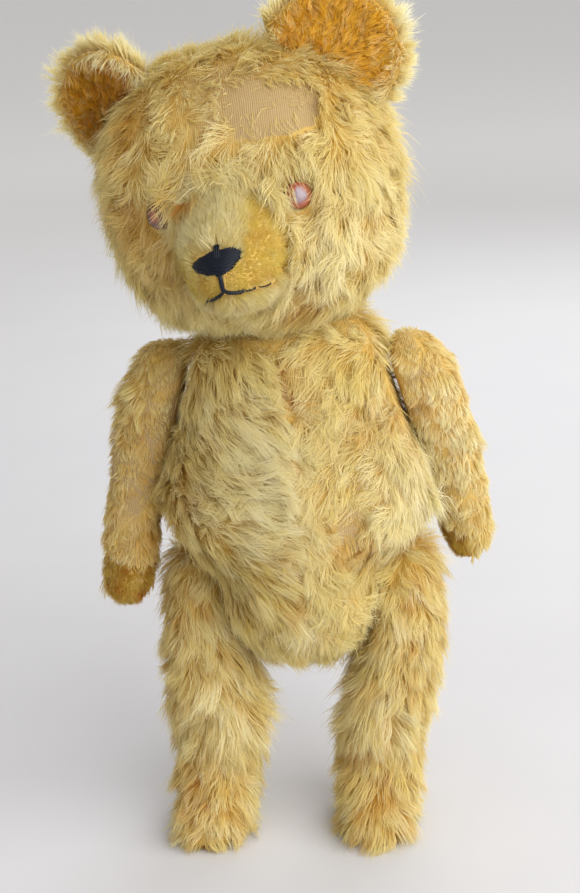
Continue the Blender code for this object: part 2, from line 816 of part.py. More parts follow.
def make_mouth(finish, pivot, tree):
    """An upright stitch and the two that spread from its foot, as one piece."""
    names = ("mouth", "mouth_stitch_right", "mouth_stitch_left")
    stitches = []
    for name, ends in zip(names, MOUTH_STITCHES):
        stitches.append(floss_stitch(name, ends, finish["floss"], pivot, tree))
    bpy.context.view_layer.update()
    depsgraph = bpy.context.evaluated_depsgraph_get()
    solid = []
    for stitch in stitches:
        mesh = bpy.data.meshes.new_from_object(stitch.evaluated_get(depsgraph))
        name = stitch.name
        bpy.data.objects.remove(stitch)
        mesh.materials.clear()
        solid.append(add_object(name, mesh, finish["floss"], pivot))
    for other in solid[1:]:
        other.hide_render = True
        other.display_type = "WIRE"
        union = solid[0].modifiers.new(other.name, "BOOLEAN")
        union.operation = "UNION"
        union.solver = "EXACT"
        union.object = other


# ---- Limbs ----


def limb_grid(sizes, columns, place):
    """Rings of an arm or a leg, from rows of (down, inner, outer, forwards, back). place
    turns each (outwards, along, down) into a point of the bear's frame."""
    grid = []
    for down, inner, outer, front, back in rows_through(sizes, LONGEST_STEP):
        section = ring((inner, outer), (-front, back), columns)
        grid.append([place(out, along, down) for out, along in section])
    return np.array(grid)


def arm_surface(side):
    """An arm that hangs in its shoulder's plane, swung a little forwards or back."""
    joint = shoulder_place(side)
    centre = joint.translation
    outward = joint.col[2].to_3d()
    down = UP.cross(outward).cross(outward).normalized()
    swing = Matrix.Rotation(-SIDES[side] * ARM_SWING[side], 3, outward)

    def place(out, along, below):
        return centre + swing @ (outward * out - FORWARDS * along + down * below)

    grid = limb_grid(ARM_SIZES, ARM_COLUMNS, place)
    top = place(*(part * MM for part in ARM_TOP))
    tip = place(*(part * MM for part in ARM_TIP))
    return closed_surface(lie_against(grid, joint), top, tip)


def leg_surface(side):
    """A leg that stands upright beside the torso's lower end, on a flat sole."""
    joint = hip_place(side)

    def place(out, along, height):
        lean = LEG_LEAN * max(LEAN_START - height, 0)
        return Vector((SIDES[side] * out - lean, BODY_BACK + along, height))

    grid = limb_grid(LEG_SIZES, LEG_COLUMNS, place)
    top = place(*(part * MM for part in LEG_TOP))
    sole = place(*(part * MM for part in LEG_SOLE))
    return closed_surface(lie_against(grid, joint), top, sole)


def make_arm(side, finish, torso):
    """Outer and inner cloth, paw pad and stuffing, jointed at the shoulder."""
    joint = shoulder_place(side)
    pivot = joint_empty(f"shoulder_{side}", joint)
    surface = arm_surface(side)
    rows = rows_through(ARM_SIZES, LONGEST_STEP)
    pad_row = int(np.searchsorted(rows[:, 0], PAW_PAD_START))
    half = ARM_COLUMNS // 2

    def in_pad(row, column):
        return row >= pad_row and column in PAW_PAD_COLUMNS[side]

    def in_outer(row, column):
        return column < half and not in_pad(row, column)

    def in_inner(row, column):
        return column >= half and not in_pad(row, column)

    name = f"arm_{side}"
    panel(f"{name}_outer", surface, in_outer, finish["mohair"], pivot)
    inner = panel(f"{name}_inner", surface, in_inner, finish["mohair"], pivot)
    panel(f"paw_pad_{side}", surface, in_pad, finish["short_pile"], pivot)
    filling = stuffing(f"{name}_stuffing", surface, finish["wood_wool"], pivot)
    cloths = [inner, torso[side]]
    label = f"shoulder_{side}"
    fit_joint(label, "shoulder", joint, pivot, finish, cloths, filling, torso["stuffing"])


def make_leg(side, finish, torso):
    """Outer and inner cloth, sole pad and stuffing, jointed at the hip."""
    joint = hip_place(side)
    pivot = joint_empty(f"hip_{side}", joint)
    surface = leg_surface(side)
    last = len(rows_through(LEG_SIZES, LONGEST_STEP)) - 1
    half = LEG_COLUMNS // 2

    def in_sole(row, column):
        return row >= last

    def in_outer(row, column):
        return row < last and column < half

    def in_inner(row, column):
        return row < last and column >= half

    name = f"leg_{side}"
    panel(f"{name}_outer", surface, in_outer, finish["mohair"], pivot)
    inner = panel(f"{name}_inner", surface, in_inner, finish["mohair"], pivot)
    panel(f"sole_pad_{side}", surface, in_sole, finish["short_pile"], pivot)
    filling = stuffing(f"{name}_stuffing", surface, finish["wood_wool"], pivot)
    cloths = [inner, torso[side]]
    label = f"hip_{side}"
    fit_joint(label, "hip", joint, pivot, finish, cloths, filling, torso["stuffing"])


def build():
    """The whole bear."""
    clear_scene()
    finish = finishes()
    torso = make_torso(finish)
    place = neck_place()
    pivot = joint_empty("neck_joint", place)
    head = make_head(finish, pivot)
    tree = head_tree(head["surface"])
    for side in SIDES:
        make_ear(side, finish, pivot)
        make_eye(side, finish, pivot, tree, head)
    make_nose(finish, pivot, tree)
    make_mouth(finish, pivot, tree)
    cloths = [head["left"], head["right"], torso["left"], torso["right"]]
    fit_joint("neck", "neck", place, pivot, finish, cloths, head["stuffing"], torso["stuffing"])
    for side in SIDES:
        make_arm(side, finish, torso)
        make_leg(side, finish, torso)


build()
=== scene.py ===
# %% [markdown]
# # An old jointed teddy bear, made as cloth and pile
#
# The bear is six stuffed parts on five disc joints: a torso, a head, two arms and two legs. The
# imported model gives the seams, the joints and the sizes. This script gives the looks, in
# the order that a maker works: stuffed skins, woven backing, pile, then the sewn face.
#
# Long pile could be a particle system, hair curves, or flat cards with a picture of hair.
# Here every strand is a small tapered ribbon of real mesh, grown by numpy from the skin,
# because it exports as it is and it can be combed, clumped and worn away by plain formulas.

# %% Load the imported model
import json
import math

import bmesh
import bpy
import numpy as np
from mathutils import Matrix, Vector
from mathutils.bvhtree import BVHTree
from mathutils.kdtree import KDTree

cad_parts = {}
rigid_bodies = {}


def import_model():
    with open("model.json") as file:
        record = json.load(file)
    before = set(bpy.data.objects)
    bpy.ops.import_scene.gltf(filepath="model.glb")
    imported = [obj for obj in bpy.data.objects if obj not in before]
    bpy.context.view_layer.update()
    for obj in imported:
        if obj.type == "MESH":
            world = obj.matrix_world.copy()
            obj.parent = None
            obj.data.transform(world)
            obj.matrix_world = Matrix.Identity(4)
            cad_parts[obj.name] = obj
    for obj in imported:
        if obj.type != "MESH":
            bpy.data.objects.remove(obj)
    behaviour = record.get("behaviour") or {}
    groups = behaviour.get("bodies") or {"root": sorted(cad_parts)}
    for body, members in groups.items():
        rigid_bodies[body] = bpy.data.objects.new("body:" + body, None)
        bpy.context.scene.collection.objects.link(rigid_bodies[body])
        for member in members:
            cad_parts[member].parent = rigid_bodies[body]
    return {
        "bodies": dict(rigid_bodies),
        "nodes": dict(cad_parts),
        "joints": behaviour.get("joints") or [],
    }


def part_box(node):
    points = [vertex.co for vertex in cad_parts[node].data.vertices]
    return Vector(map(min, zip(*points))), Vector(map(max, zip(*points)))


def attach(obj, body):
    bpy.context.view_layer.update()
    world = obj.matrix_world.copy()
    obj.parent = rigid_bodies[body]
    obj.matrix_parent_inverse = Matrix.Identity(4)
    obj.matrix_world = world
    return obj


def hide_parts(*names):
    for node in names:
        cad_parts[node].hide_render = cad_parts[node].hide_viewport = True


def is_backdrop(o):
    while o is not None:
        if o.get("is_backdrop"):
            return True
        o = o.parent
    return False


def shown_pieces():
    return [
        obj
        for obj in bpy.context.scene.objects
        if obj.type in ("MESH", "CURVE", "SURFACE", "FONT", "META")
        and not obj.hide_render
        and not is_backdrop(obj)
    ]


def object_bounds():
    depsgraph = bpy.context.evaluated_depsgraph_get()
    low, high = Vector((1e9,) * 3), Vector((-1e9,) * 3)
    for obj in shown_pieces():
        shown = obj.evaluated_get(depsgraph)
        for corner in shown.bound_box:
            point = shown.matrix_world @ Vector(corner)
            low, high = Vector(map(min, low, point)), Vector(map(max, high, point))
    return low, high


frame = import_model()
cad_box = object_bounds()
nodes = frame["nodes"]
joints = {joint["name"]: joint for joint in frame["joints"]}
MM = 0.001
print("bodies:", sorted(frame["bodies"]), "nodes:", len(nodes))

# %% [markdown]
# ## Camera, floor and light
#
# The bear is looked at from a little above its head and a little to its left, with the
# camera held slightly askew. A long lens keeps the proportions quiet.

# %% Camera
CAMERA_AT = Vector((46 * MM, -629 * MM, 388 * MM))
CAMERA_YAW = math.radians(4.2)
CAMERA_PITCH = math.radians(-18)
CAMERA_ROLL = math.radians(-3.6)
FOCAL_SHARE = 1.792  # focal length over the picture's longer side
SENSOR = 36.0


def level_camera_turn():
    """The turn of a camera that looks along +Y, before it is aimed."""
    return Matrix.Rotation(math.radians(90), 4, "X")


camera = bpy.data.objects.new("camera", bpy.data.cameras.new("camera"))
bpy.context.scene.collection.objects.link(camera)
camera.data.sensor_width = SENSOR
camera.data.lens = SENSOR * FOCAL_SHARE
aim = Matrix.Rotation(CAMERA_YAW, 4, "Z") @ Matrix.Rotation(CAMERA_PITCH, 4, "X")
roll = Matrix.Rotation(CAMERA_ROLL, 4, "Z")
camera.matrix_world = Matrix.Translation(CAMERA_AT) @ aim @ level_camera_turn() @ roll
bpy.context.scene.camera = camera
print("camera lens mm:", round(camera.data.lens, 1))


# %% Soft studio light
def area_light(name, at, target, size, watts, colour):
    """A square lamp that faces a target."""
    lamp = bpy.data.lights.new(name, "AREA")
    lamp.size = size
    lamp.energy = watts
    lamp.color = colour
    placed = bpy.data.objects.new(name, lamp)
    placed.location = at
    placed.rotation_mode = "QUATERNION"
    placed.rotation_quaternion = (Vector(target) - Vector(at)).to_track_quat("-Z", "Y")
    bpy.context.scene.collection.objects.link(placed)
    return placed


CHEST = Vector((0, 0, 200 * MM))
area_light("window", (1.2, -1.0, 0.9), CHEST, 2.4, 64, (1.0, 0.99, 0.96))
area_light("room", (-0.9, -1.1, 0.6), CHEST, 1.2, 1, (0.95, 0.96, 1.0))
area_light("back", (0.3, 0.9, 0.9), CHEST, 0.8, 6, (1.0, 1.0, 1.0))

world = bpy.data.worlds.new("studio")
bpy.context.scene.world = world
world.use_nodes = True
backdrop = world.node_tree.nodes["Background"]
backdrop.inputs["Color"].default_value = (0.9, 0.88, 0.86, 1)
backdrop.inputs["Strength"].default_value = 0.62
print("lamps:", [placed.name for placed in bpy.data.objects if placed.type == "LIGHT"])


# %% [markdown]
# ## Shader maths as expressions
#
# A node tree is a sum of small formulas, so it is easier to read as formulas. `Wire` wraps
# one output socket. Adding or multiplying wires adds the Math nodes. Any other node comes
# from `Paint.node`, which takes the node's type, its settings and its inputs.


# %% Wires
class Wire:
    """One socket that arithmetic works on."""

    def __init__(self, paint, socket):
        self.paint = paint
        self.socket = socket

    def maths(self, operation, *others, swapped=False):
        values = [self, *others]
        if swapped:
            values.reverse()
        return self.paint.node("ShaderNodeMath", {"operation": operation}, values)

    def __add__(self, other):
        return self.maths("ADD", other)

    def __sub__(self, other):
        return self.maths("SUBTRACT", other)

    def __rsub__(self, other):
        return self.maths("SUBTRACT", other, swapped=True)

    def __mul__(self, other):
        return self.maths("MULTIPLY", other)

    __radd__ = __add__
    __rmul__ = __mul__

    def clamped(self):
        return self.maths("MAXIMUM", 0.0).maths("MINIMUM", 1.0)

    def step(self, least, most):
        """0 below least, 1 above most, smooth between."""
        settings = {"interpolation_type": "SMOOTHSTEP"}
        return self.paint.node("ShaderNodeMapRange", settings, [self, least, most])


# %% Paint
NOISE_ROUGHNESS = 0.55


class Paint:
    """One material and the nodes in it."""

    def __init__(self, name):
        self.material = bpy.data.materials.new(name)
        self.material.use_nodes = True
        self.tree = self.material.node_tree
        self.shader = self.tree.nodes["Principled BSDF"]

    def node(self, kind, settings=None, inputs=(), output=0):
        """Adds a node, sets it up, feeds its sockets and gives one output as a Wire."""
        made = self.tree.nodes.new(kind)
        for name, value in (settings or {}).items():
            setattr(made, name, value)
        pairs = inputs.items() if isinstance(inputs, dict) else enumerate(inputs)
        for key, value in pairs:
            self.feed(made.inputs[key], value)
        return Wire(self, made.outputs[output])

    def feed(self, socket, value):
        """Links a wire to a socket, or sets the socket's own value."""
        if isinstance(value, Wire):
            self.tree.links.new(value.socket, socket)
        elif socket.type == "RGBA" and len(value) == 3:
            socket.default_value = (*value, 1)
        else:
            socket.default_value = value

    def mix(self, share, first, second):
        """Two colours mixed by a share from 0 to 1."""
        made = self.tree.nodes.new("ShaderNodeMix")
        made.data_type = "RGBA"
        self.feed(made.inputs["Factor"], share)
        self.feed(made.inputs["A"], first)
        self.feed(made.inputs["B"], second)
        return Wire(self, made.outputs["Result"])

    def place(self):
        """Where a point lies on the piece, in metres."""
        return self.node("ShaderNodeTexCoord", output="Object")

    def noise(self, scale, detail=3.0):
        """A cloudy value between 0 and 1."""
        inputs = {"Vector": self.place(), "Scale": scale, "Detail": detail}
        inputs["Roughness"] = NOISE_ROUGHNESS
        return self.node("ShaderNodeTexNoise", {}, inputs)

    def parts(self, vector):
        """The three numbers of a vector."""
        split = self.tree.nodes.new("ShaderNodeSeparateXYZ")
        self.feed(split.inputs[0], vector)
        return [Wire(self, split.outputs[i]) for i in range(3)]

    def attribute(self, name, output="Fac"):
        """A value stored on the mesh."""
        return self.node("ShaderNodeAttribute", {"attribute_name": name}, output=output)

    def bump(self, height, depth, strength):
        """A surface normal raised by a height, depth metres at height 1."""
        inputs = {"Height": height, "Distance": depth, "Strength": strength}
        return self.node("ShaderNodeBump", {}, inputs)

    def lit_through(self, colour, share):
        """Lets a share of the light come through from behind, as hair does."""
        behind = self.node("ShaderNodeBsdfTranslucent", {}, {"Color": colour})
        front = Wire(self, self.shader.outputs["BSDF"])
        both = self.node("ShaderNodeMixShader", {}, [share, front, behind])
        self.feed(self.tree.nodes["Material Output"].inputs["Surface"], both)

    def finish(self, **sockets):
        """Feeds the shader's sockets, named with _ for spaces, and gives the material."""
        for name, value in sockets.items():
            self.feed(self.shader.inputs[name.replace("_", " ")], value)
        print("finish", self.material.name, "nodes:", len(self.tree.nodes))
        return self.material


def srgb(code):
    """A colour as the shader wants it, from the usual six hexadecimal digits."""
    shares = [int(code[i : i + 2], 16) / 255 for i in (0, 2, 4)]
    return tuple((c / 12.92 if c < 0.04045 else ((c + 0.055) / 1.055) ** 2.4) for c in shares)


# %% [markdown]
# ## The plain floor
#
# A matt, pale, slightly mottled sheet, wide enough to fill the view behind the bear.

# %% Floor
FLOOR_HALF = 12.0
FLOOR_NEAR = 0.5  # the sheet pales between these distances from the bear
FLOOR_FAR = 2.5


def floor_paint():
    paint = Paint("studio_floor")
    mottle = paint.noise(9.0, 4.0)
    x, y, _ = paint.parts(paint.place())
    gap = (x * x + y * y).maths("SQRT")
    near_bear = paint.mix(mottle, srgb("C4C4C8"), srgb("CCCCCF"))
    colour = paint.mix(gap.step(FLOOR_NEAR, FLOOR_FAR), near_bear, srgb("FAFAFB"))
    return paint.finish(Base_Color=colour, Roughness=0.9)


def make_floor():
    signs = ((-1, -1), (1, -1), (1, 1), (-1, 1))
    corners = [(x * FLOOR_HALF, y * FLOOR_HALF, 0) for x, y in signs]
    mesh = bpy.data.meshes.new("floor")
    mesh.from_pydata(corners, [], [(0, 1, 2, 3)])
    mesh.materials.append(floor_paint())
    made = bpy.data.objects.new("floor", mesh)
    bpy.context.scene.collection.objects.link(made)
    made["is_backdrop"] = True


make_floor()

# %% [markdown]
# ## Stuffed skins
#
# On the real bear each part is a cloth bag, cut in panels and sewn, then packed hard with
# wood wool. The packing swells every panel between its seams. A skin could be sculpted by
# hand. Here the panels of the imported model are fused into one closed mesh, which is blown up
# a little with Blender's Cloth while the seams are held, because that is how the real
# shape comes about.

# %% Mesh arrays
SHELL = {
    "torso": ["torso_left", "torso_right"],
    "head": ["head_gusset", "head_side_left", "head_side_right", "muzzle"],
}
for side in ("left", "right"):
    SHELL[f"arm_{side}"] = [f"arm_{side}_outer", f"arm_{side}_inner", f"paw_pad_{side}"]
    SHELL[f"leg_{side}"] = [f"leg_{side}_outer", f"leg_{side}_inner", f"sole_pad_{side}"]


def read(items, attribute, width, kind=np.float32):
    """One attribute of a mesh's items, one row each."""
    flat = np.zeros(len(items) * width, kind)
    items.foreach_get(attribute, flat)
    return flat.reshape(-1, width)


def points_of(mesh):
    """The points of a mesh."""
    return read(mesh.vertices, "co", 3).astype(float)


def normals_of(mesh):
    """The smooth normal at each point of a mesh."""
    return read(mesh.vertex_normals, "vector", 3).astype(float)


def triangles_of(mesh):
    """The three point numbers of each triangle of a mesh."""
    mesh.calc_loop_triangles()
    return read(mesh.loop_triangles, "vertices", 3, np.int32)


def edges_of(mesh):
    """The two point numbers of each edge of a mesh."""
    return read(mesh.edges, "vertices", 2, np.int32)


def move_points(mesh, points):
    """Puts the points of a mesh somewhere else."""
    mesh.vertices.foreach_set("co", np.asarray(points, np.float32).ravel())
    mesh.update()


def unit(vectors):
    """Each row made one long."""
    length = np.linalg.norm(vectors, axis=-1, keepdims=True)
    return vectors / np.maximum(length, 1e-9)


def add_piece(name, mesh):
    """An object in the scene for a mesh."""
    made = bpy.data.objects.new(name, mesh)
    bpy.context.scene.collection.objects.link(made)
    return made


def applied(piece):
    """The piece's mesh with its modifiers applied, and no modifier left on it."""
    graph = bpy.context.evaluated_depsgraph_get()
    mesh = bpy.data.meshes.new_from_object(piece.evaluated_get(graph))
    mesh.name = piece.name
    piece.modifiers.clear()
    piece.data = mesh
    return mesh


# %% Where the cloth is pierced
PLUG = 2.6 * MM  # radius of the balls that close the pin holes
EYE_PLUG = 3.6 * MM
EYE_PLUG_DEPTH = 3 * MM


def joint_frame(joint):
    """Where a joint is, and its direction from the torso out to the part that turns."""
    at = np.array(joint["pos_m"], float)
    out = np.array(joint["axis"], float)
    ahead = middle_of(f"{joint['child']}_stuffing") - middle_of("torso_stuffing")
    return at, out if ahead @ out > 0 else -out


def middle_of(node):
    """The middle of a node's box."""
    lowest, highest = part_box(node)
    return np.array((lowest + highest) / 2)


def plugs(body):
    """Where cloth is pierced: the pin holes and the holes of the eyes' shanks."""
    found = []
    for joint in joints.values():
        at, out = joint_frame(joint)
        if joint["child"] == body:
            found.append((at + PLUG * out, PLUG))
        elif joint["parent"] == body:
            found.append((at - PLUG * out, PLUG))
    if body == "head":
        for side in ("left", "right"):
            eye = middle_of(f"eye_{side}")
            inward = unit(middle_of("head_stuffing") - eye)
            found.append((eye + (EYE_PLUG + EYE_PLUG_DEPTH) * inward, EYE_PLUG))
    return found


# %% Fused panels
def fused(name, members, balls, voxel):
    """One closed mesh round several CAD nodes."""
    body = bmesh.new()
    for member in members:
        body.from_mesh(nodes[member].data)
    for at, radius in balls:
        spot = Matrix.Translation(Vector(at))
        bmesh.ops.create_icosphere(body, subdivisions=2, radius=radius, matrix=spot)
    mesh = bpy.data.meshes.new(name)
    body.to_mesh(mesh)
    body.free()
    piece = add_piece(name, mesh)
    fuse = piece.modifiers.new("fuse", "REMESH")
    fuse.mode = "VOXEL"
    fuse.voxel_size = voxel
    applied(piece)
    keep_outside(piece.data)
    return piece


def keep_outside(mesh):
    """Removes every closed surface but the outermost one."""
    body = bmesh.new()
    body.from_mesh(mesh)
    left = set(body.verts)
    shells = []
    while left:
        shell = set()
        edge = [left.pop()]
        while edge:
            point = edge.pop()
            shell.add(point)
            for link in point.link_edges:
                other = link.other_vert(point)
                if other in left:
                    left.discard(other)
                    edge.append(other)
        shells.append(shell)
    shells.sort(key=len)
    for shell in shells[:-1]:
        bmesh.ops.delete(body, geom=list(shell), context="VERTS")
    holes = (len(body.edges) - len(body.verts) - len(body.faces) + 2) // 2
    body.to_mesh(mesh)
    body.free()
    print(mesh.name, "shells:", [len(shell) for shell in shells], "tunnels:", holes)


# %% Evening out
PULL_IN = 0.5
PUSH_BACK = -0.53


def relax(points, edges, rounds):
    """Evens out a mesh without shrinking it: each round pulls in, then pushes back."""
    count = np.bincount(edges.ravel(), minlength=len(points)).clip(1)[:, None]
    for share in (PULL_IN, PUSH_BACK) * rounds:
        total = np.zeros_like(points)
        np.add.at(total, edges[:, 0], points[edges[:, 1]])
        np.add.at(total, edges[:, 1], points[edges[:, 0]])
        points = points + share * (total / count - points)
    return points


# %% Which panel a point belongs to
def panel_chart(points, members):
    """For each point, the number of its panel and how far it is from the next panel."""
    away = np.zeros((len(members), len(points)))
    for row, member in enumerate(members):
        tree = BVHTree.FromPolygons(
            points_of(nodes[member].data).tolist(),
            triangles_of(nodes[member].data).tolist(),
        )
        for column, point in enumerate(points):
            away[row, column] = tree.find_nearest(point)[3]
    order = np.sort(away, axis=0)
    seam = order[1] - order[0] if len(members) > 1 else np.full(len(points), 1.0)
    return away.argmin(axis=0), seam


# %% Cloth under pressure
VOXEL = {"torso": 4.0 * MM, "head": 4.0 * MM, "arm": 3.4 * MM, "leg": 3.6 * MM}
SMOOTHING = 6  # rounds before the cloth is blown up
SHRINK = 1.3 * MM
SWELL_CAP = 2.6 * MM
SEAM_HOLD = 2.2 * MM
PRESSURE = 4.0
CLOTH_QUALITY = 5
LAST_FRAME = 20
CLOTH_LIFT = 1.4 * MM  # how far the cloth of a sole stays above the floor


def blown_up(piece, held):
    """Runs the cloth with the held points pinned, and gives where the points end."""
    group = piece.vertex_groups.new(name="held")
    group.add([int(i) for i in np.flatnonzero(held)], 1.0, "REPLACE")
    cloth = piece.modifiers.new("cloth", "CLOTH")
    cloth.settings.quality = CLOTH_QUALITY
    cloth.settings.use_pressure = True
    cloth.settings.uniform_pressure_force = PRESSURE
    cloth.settings.vertex_group_mass = group.name
    cloth.settings.effector_weights.gravity = 0
    cloth.point_cache.frame_start = 1
    cloth.point_cache.frame_end = LAST_FRAME
    for step in range(1, LAST_FRAME + 1):
        bpy.context.scene.frame_set(step)
    graph = bpy.context.evaluated_depsgraph_get()
    ended = points_of(piece.evaluated_get(graph).data)
    piece.modifiers.clear()
    piece.vertex_groups.clear()
    bpy.context.scene.frame_set(1)
    return ended


def stuffed_skin(body):
    """The whole bag of one part: fused, evened, blown up, and subdivided once."""
    members = SHELL[body]
    inside = f"{body}_stuffing"
    voxel = VOXEL[body.split("_")[0]]
    piece = fused(f"{body}_cloth", [*members, inside], plugs(body), voxel)
    mesh = piece.data
    start = relax(points_of(mesh), edges_of(mesh), SMOOTHING)
    move_points(mesh, start)
    panel, seam = panel_chart(start, members)
    move_points(mesh, start - SHRINK * normals_of(mesh))
    swollen = blown_up(piece, seam < SEAM_HOLD)
    gone = swollen - start
    far = np.linalg.norm(gone, axis=1, keepdims=True)
    start = start + gone * np.minimum(1, SWELL_CAP / np.maximum(far, 1e-9))
    start = relax(start, edges_of(mesh), 2)
    print(body, "swell up to mm:", round(float(far.max()) / MM, 2))
    start[:, 2] = np.maximum(start[:, 2], CLOTH_LIFT)
    move_points(mesh, start)
    piece.modifiers.new("finer", "SUBSURF").levels = 1
    mesh = applied(piece)
    mesh.shade_smooth()
    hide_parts(*members, inside)
    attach(piece, body)
    return piece


skins = {body: stuffed_skin(body) for body in SHELL}

# %% [markdown]
# ## How pile is grown
#
# Mohair cloth has a woven backing with long, slightly wavy, shiny hair standing on it. The
# hair falls the way it has been stroked, and it gathers in locks. Hair curves would follow
# every bend. Each strand here is a ribbon of two segments, which is enough at this size. It
# leaves the skin at one angle, falls over to another, turns a little sideways, and is drawn
# towards the leading strand of its lock.


# %% Soft random fields and charts
WAVES = 7  # how many plane waves make one field


def waves(places, size, seed):
    """A smooth random value round 0 at each place, in bumps about as wide as size."""
    rng = np.random.default_rng(seed)
    total = np.zeros(len(places))
    for _ in range(WAVES):
        way = unit(rng.normal(size=3))
        pace = 2 * math.pi / size * rng.uniform(0.6, 1.5)
        total += np.sin(places @ way * pace + rng.uniform(0, 2 * math.pi))
    return total / math.sqrt(WAVES / 2)


def ramp(values, least, most):
    """0 below least, 1 above most, smooth between."""
    share = np.clip((values - least) / (most - least), 0, 1)
    return share * share * (3 - 2 * share)


def near(places, at, reach):
    """1 at a spot given in millimetres, falling away over its reach."""
    gap = (places - np.array(at) * MM) / (reach * MM)
    return np.exp(-(gap**2).sum(axis=1))


def chart(places, spots):
    """The sum of several spots, each with its place, reach and strength."""
    total = np.zeros(len(places))
    for at, reach, strength in spots:
        total += strength * near(places, at, reach)
    return total


USUAL_WEIGHT = 0.03  # a stroke outweighs the usual way wherever it is near


def combed(places, out, strokes, usual=(0, 0, -1)):
    """The way the pile lies: the blend of the strokes nearby, laid along the skin."""
    total = np.tile(np.array(usual, float) * USUAL_WEIGHT, (len(places), 1))
    for at, way, reach in strokes:
        total += near(places, at, reach)[:, None] * unit(np.array(way, float))
    total -= (total * out).sum(axis=1, keepdims=True) * out
    return unit(total)


# %% Roots of the strands
PLACED = ("place", "out", "panel", "seam")
STYLED = ("comb", "length", "lift", "fall", "fade", "warm")


class Roots:
    """The strands of one piece of pile before they are drawn, one row for each strand."""

    def __init__(self, place, out, panel, seam):
        self.place = place
        self.out = out
        self.panel = panel
        self.seam = seam
        count = len(place)
        self.comb = np.zeros((count, 3))
        self.length = np.full(count, 10 * MM)
        self.lift = np.full(count, 45.0)
        self.fall = np.full(count, 80.0)
        self.fade = np.zeros(count)
        self.warm = np.zeros(count)

    def __len__(self):
        return len(self.place)

    def kept(self, mask):
        """The same roots without those that the mask leaves out."""
        made = Roots(*(getattr(self, name)[mask] for name in PLACED))
        for name in STYLED:
            setattr(made, name, getattr(self, name)[mask])
        return made

    def lie(self, lift, fall):
        """Sets each strand's angle from the skin's normal at its root and at its tip."""
        self.lift = lift + np.zeros(len(self))
        self.fall = fall + np.zeros(len(self))

    def shade(self, fade, warm):
        """Sets how faded and how warm each strand's colour is; the first also carries painted
        highlights, the second painted shade.
        """
        self.fade = np.clip(fade, 0, 1) + np.zeros(len(self))
        self.warm = np.clip(warm, 0, 1) + np.zeros(len(self))


def scatter(piece, members, count, rng, thickness):
    """Roots over a skin, where thickness(roots) from 0 to 1 says how thick the pile is."""
    mesh = piece.data
    points, normals, faces = points_of(mesh), normals_of(mesh), triangles_of(mesh)
    panel, seam = piece_chart(piece, members)
    first, second, third = (points[faces[:, corner]] for corner in range(3))
    area = np.linalg.norm(np.cross(second - first, third - first), axis=1)
    found = []
    total = 0
    while total < count:
        face = rng.choice(len(faces), count, p=area / area.sum())
        u, v = rng.random(count), rng.random(count)
        flip = u + v > 1
        u, v = np.where(flip, 1 - u, u), np.where(flip, 1 - v, v)
        share = np.stack([1 - u - v, u, v], axis=1)
        place = (points[faces[face]] * share[:, :, None]).sum(axis=1)
        out = unit((normals[faces[face]] * share[:, :, None]).sum(axis=1))
        gap = (seam[faces[face]] * share).sum(axis=1)
        roots = Roots(place, out, panel[faces[face, share.argmax(axis=1)]], gap)
        roots = roots.kept(rng.random(count) < thickness(roots))
        found.append(roots)
        total += len(roots)
    every = [[getattr(roots, name) for roots in found] for name in PLACED]
    return Roots(*(np.concatenate(values)[:count] for values in every))


charts = {}


def piece_chart(piece, members):
    """The panel chart of a finished skin, worked out once."""
    if piece.name not in charts:
        charts[piece.name] = panel_chart(points_of(piece.data), members)
    return charts[piece.name]


# %% From roots to lines
LONG = (0.0, 0.5, 1.0)
SHORT = (0.0, 1.0)
BURY = 0.4 * MM


def drawn(roots, steps, curl):
    """The points along each strand, as it falls over and turns sideways."""
    at = roots.place - BURY * roots.out
    across = np.cross(roots.out, roots.comb)
    line = [at]
    for start, end in zip(steps, steps[1:]):
        share = (start + end) / 2
        lift = np.radians(roots.lift + (roots.fall - roots.lift) * share**0.8)[:, None]
        turn = (curl * (share - 0.3))[:, None]
        flat = roots.comb * np.cos(turn) + across * np.sin(turn)
        way = roots.out * np.cos(lift) + flat * np.sin(lift)
        at = at + way * roots.length[:, None] * (end - start)
        line.append(at)
    return np.stack(line, axis=1)


def leaders(places, size, rng):
    """Each strand's leading strand, when about size strands make a lock."""
    chosen = rng.choice(len(places), max(1, int(len(places) / size)), replace=False)
    tree = KDTree(len(chosen))
    for row, strand in enumerate(chosen):
        tree.insert(places[strand], row)
    tree.balance()
    owner = [tree.find(place)[1] for place in places]
    return chosen[owner]


# %% From lines to ribbons
SOLE_GAP = (0.3 * MM, 0.7 * CLOTH_LIFT)  # strands under a sole are pressed flat between these


def ribbon_mesh(name, lines, out, width, twist, tint, steps):
    """One mesh of tapered strips: a pair of points at every step, and one at the tip."""
    count, last = len(lines), len(steps) - 1
    chord = unit(lines[:, -1] - lines[:, 0])
    side = unit(np.cross(chord, out))
    face = np.cross(side, chord)
    side = side * np.cos(twist)[:, None] + face * np.sin(twist)[:, None]
    levels = [step for step in range(last) for _ in range(2)] + [last]
    signs = np.array([-1, 1] * last + [0])
    shares = np.array([steps[step] for step in levels])
    half = 0.5 * signs * (1 - shares**3)
    points = lines[:, levels] + (width[:, None] * half)[:, :, None] * side[:, None, :]
    pressed = np.linspace(*SOLE_GAP, count)
    points[:, :, 2] = np.maximum(points[:, :, 2], pressed[:, None])
    return strand_mesh(name, points, half, shares, tint)


def strip_triangles(width):
    """The triangles of one strip of width points, as one flat list of point numbers."""
    found = []
    for first in range(0, width - 3, 2):
        found += [first, first + 1, first + 2, first + 1, first + 3, first + 2]
    return np.array(found + [width - 3, width - 2, width - 1])


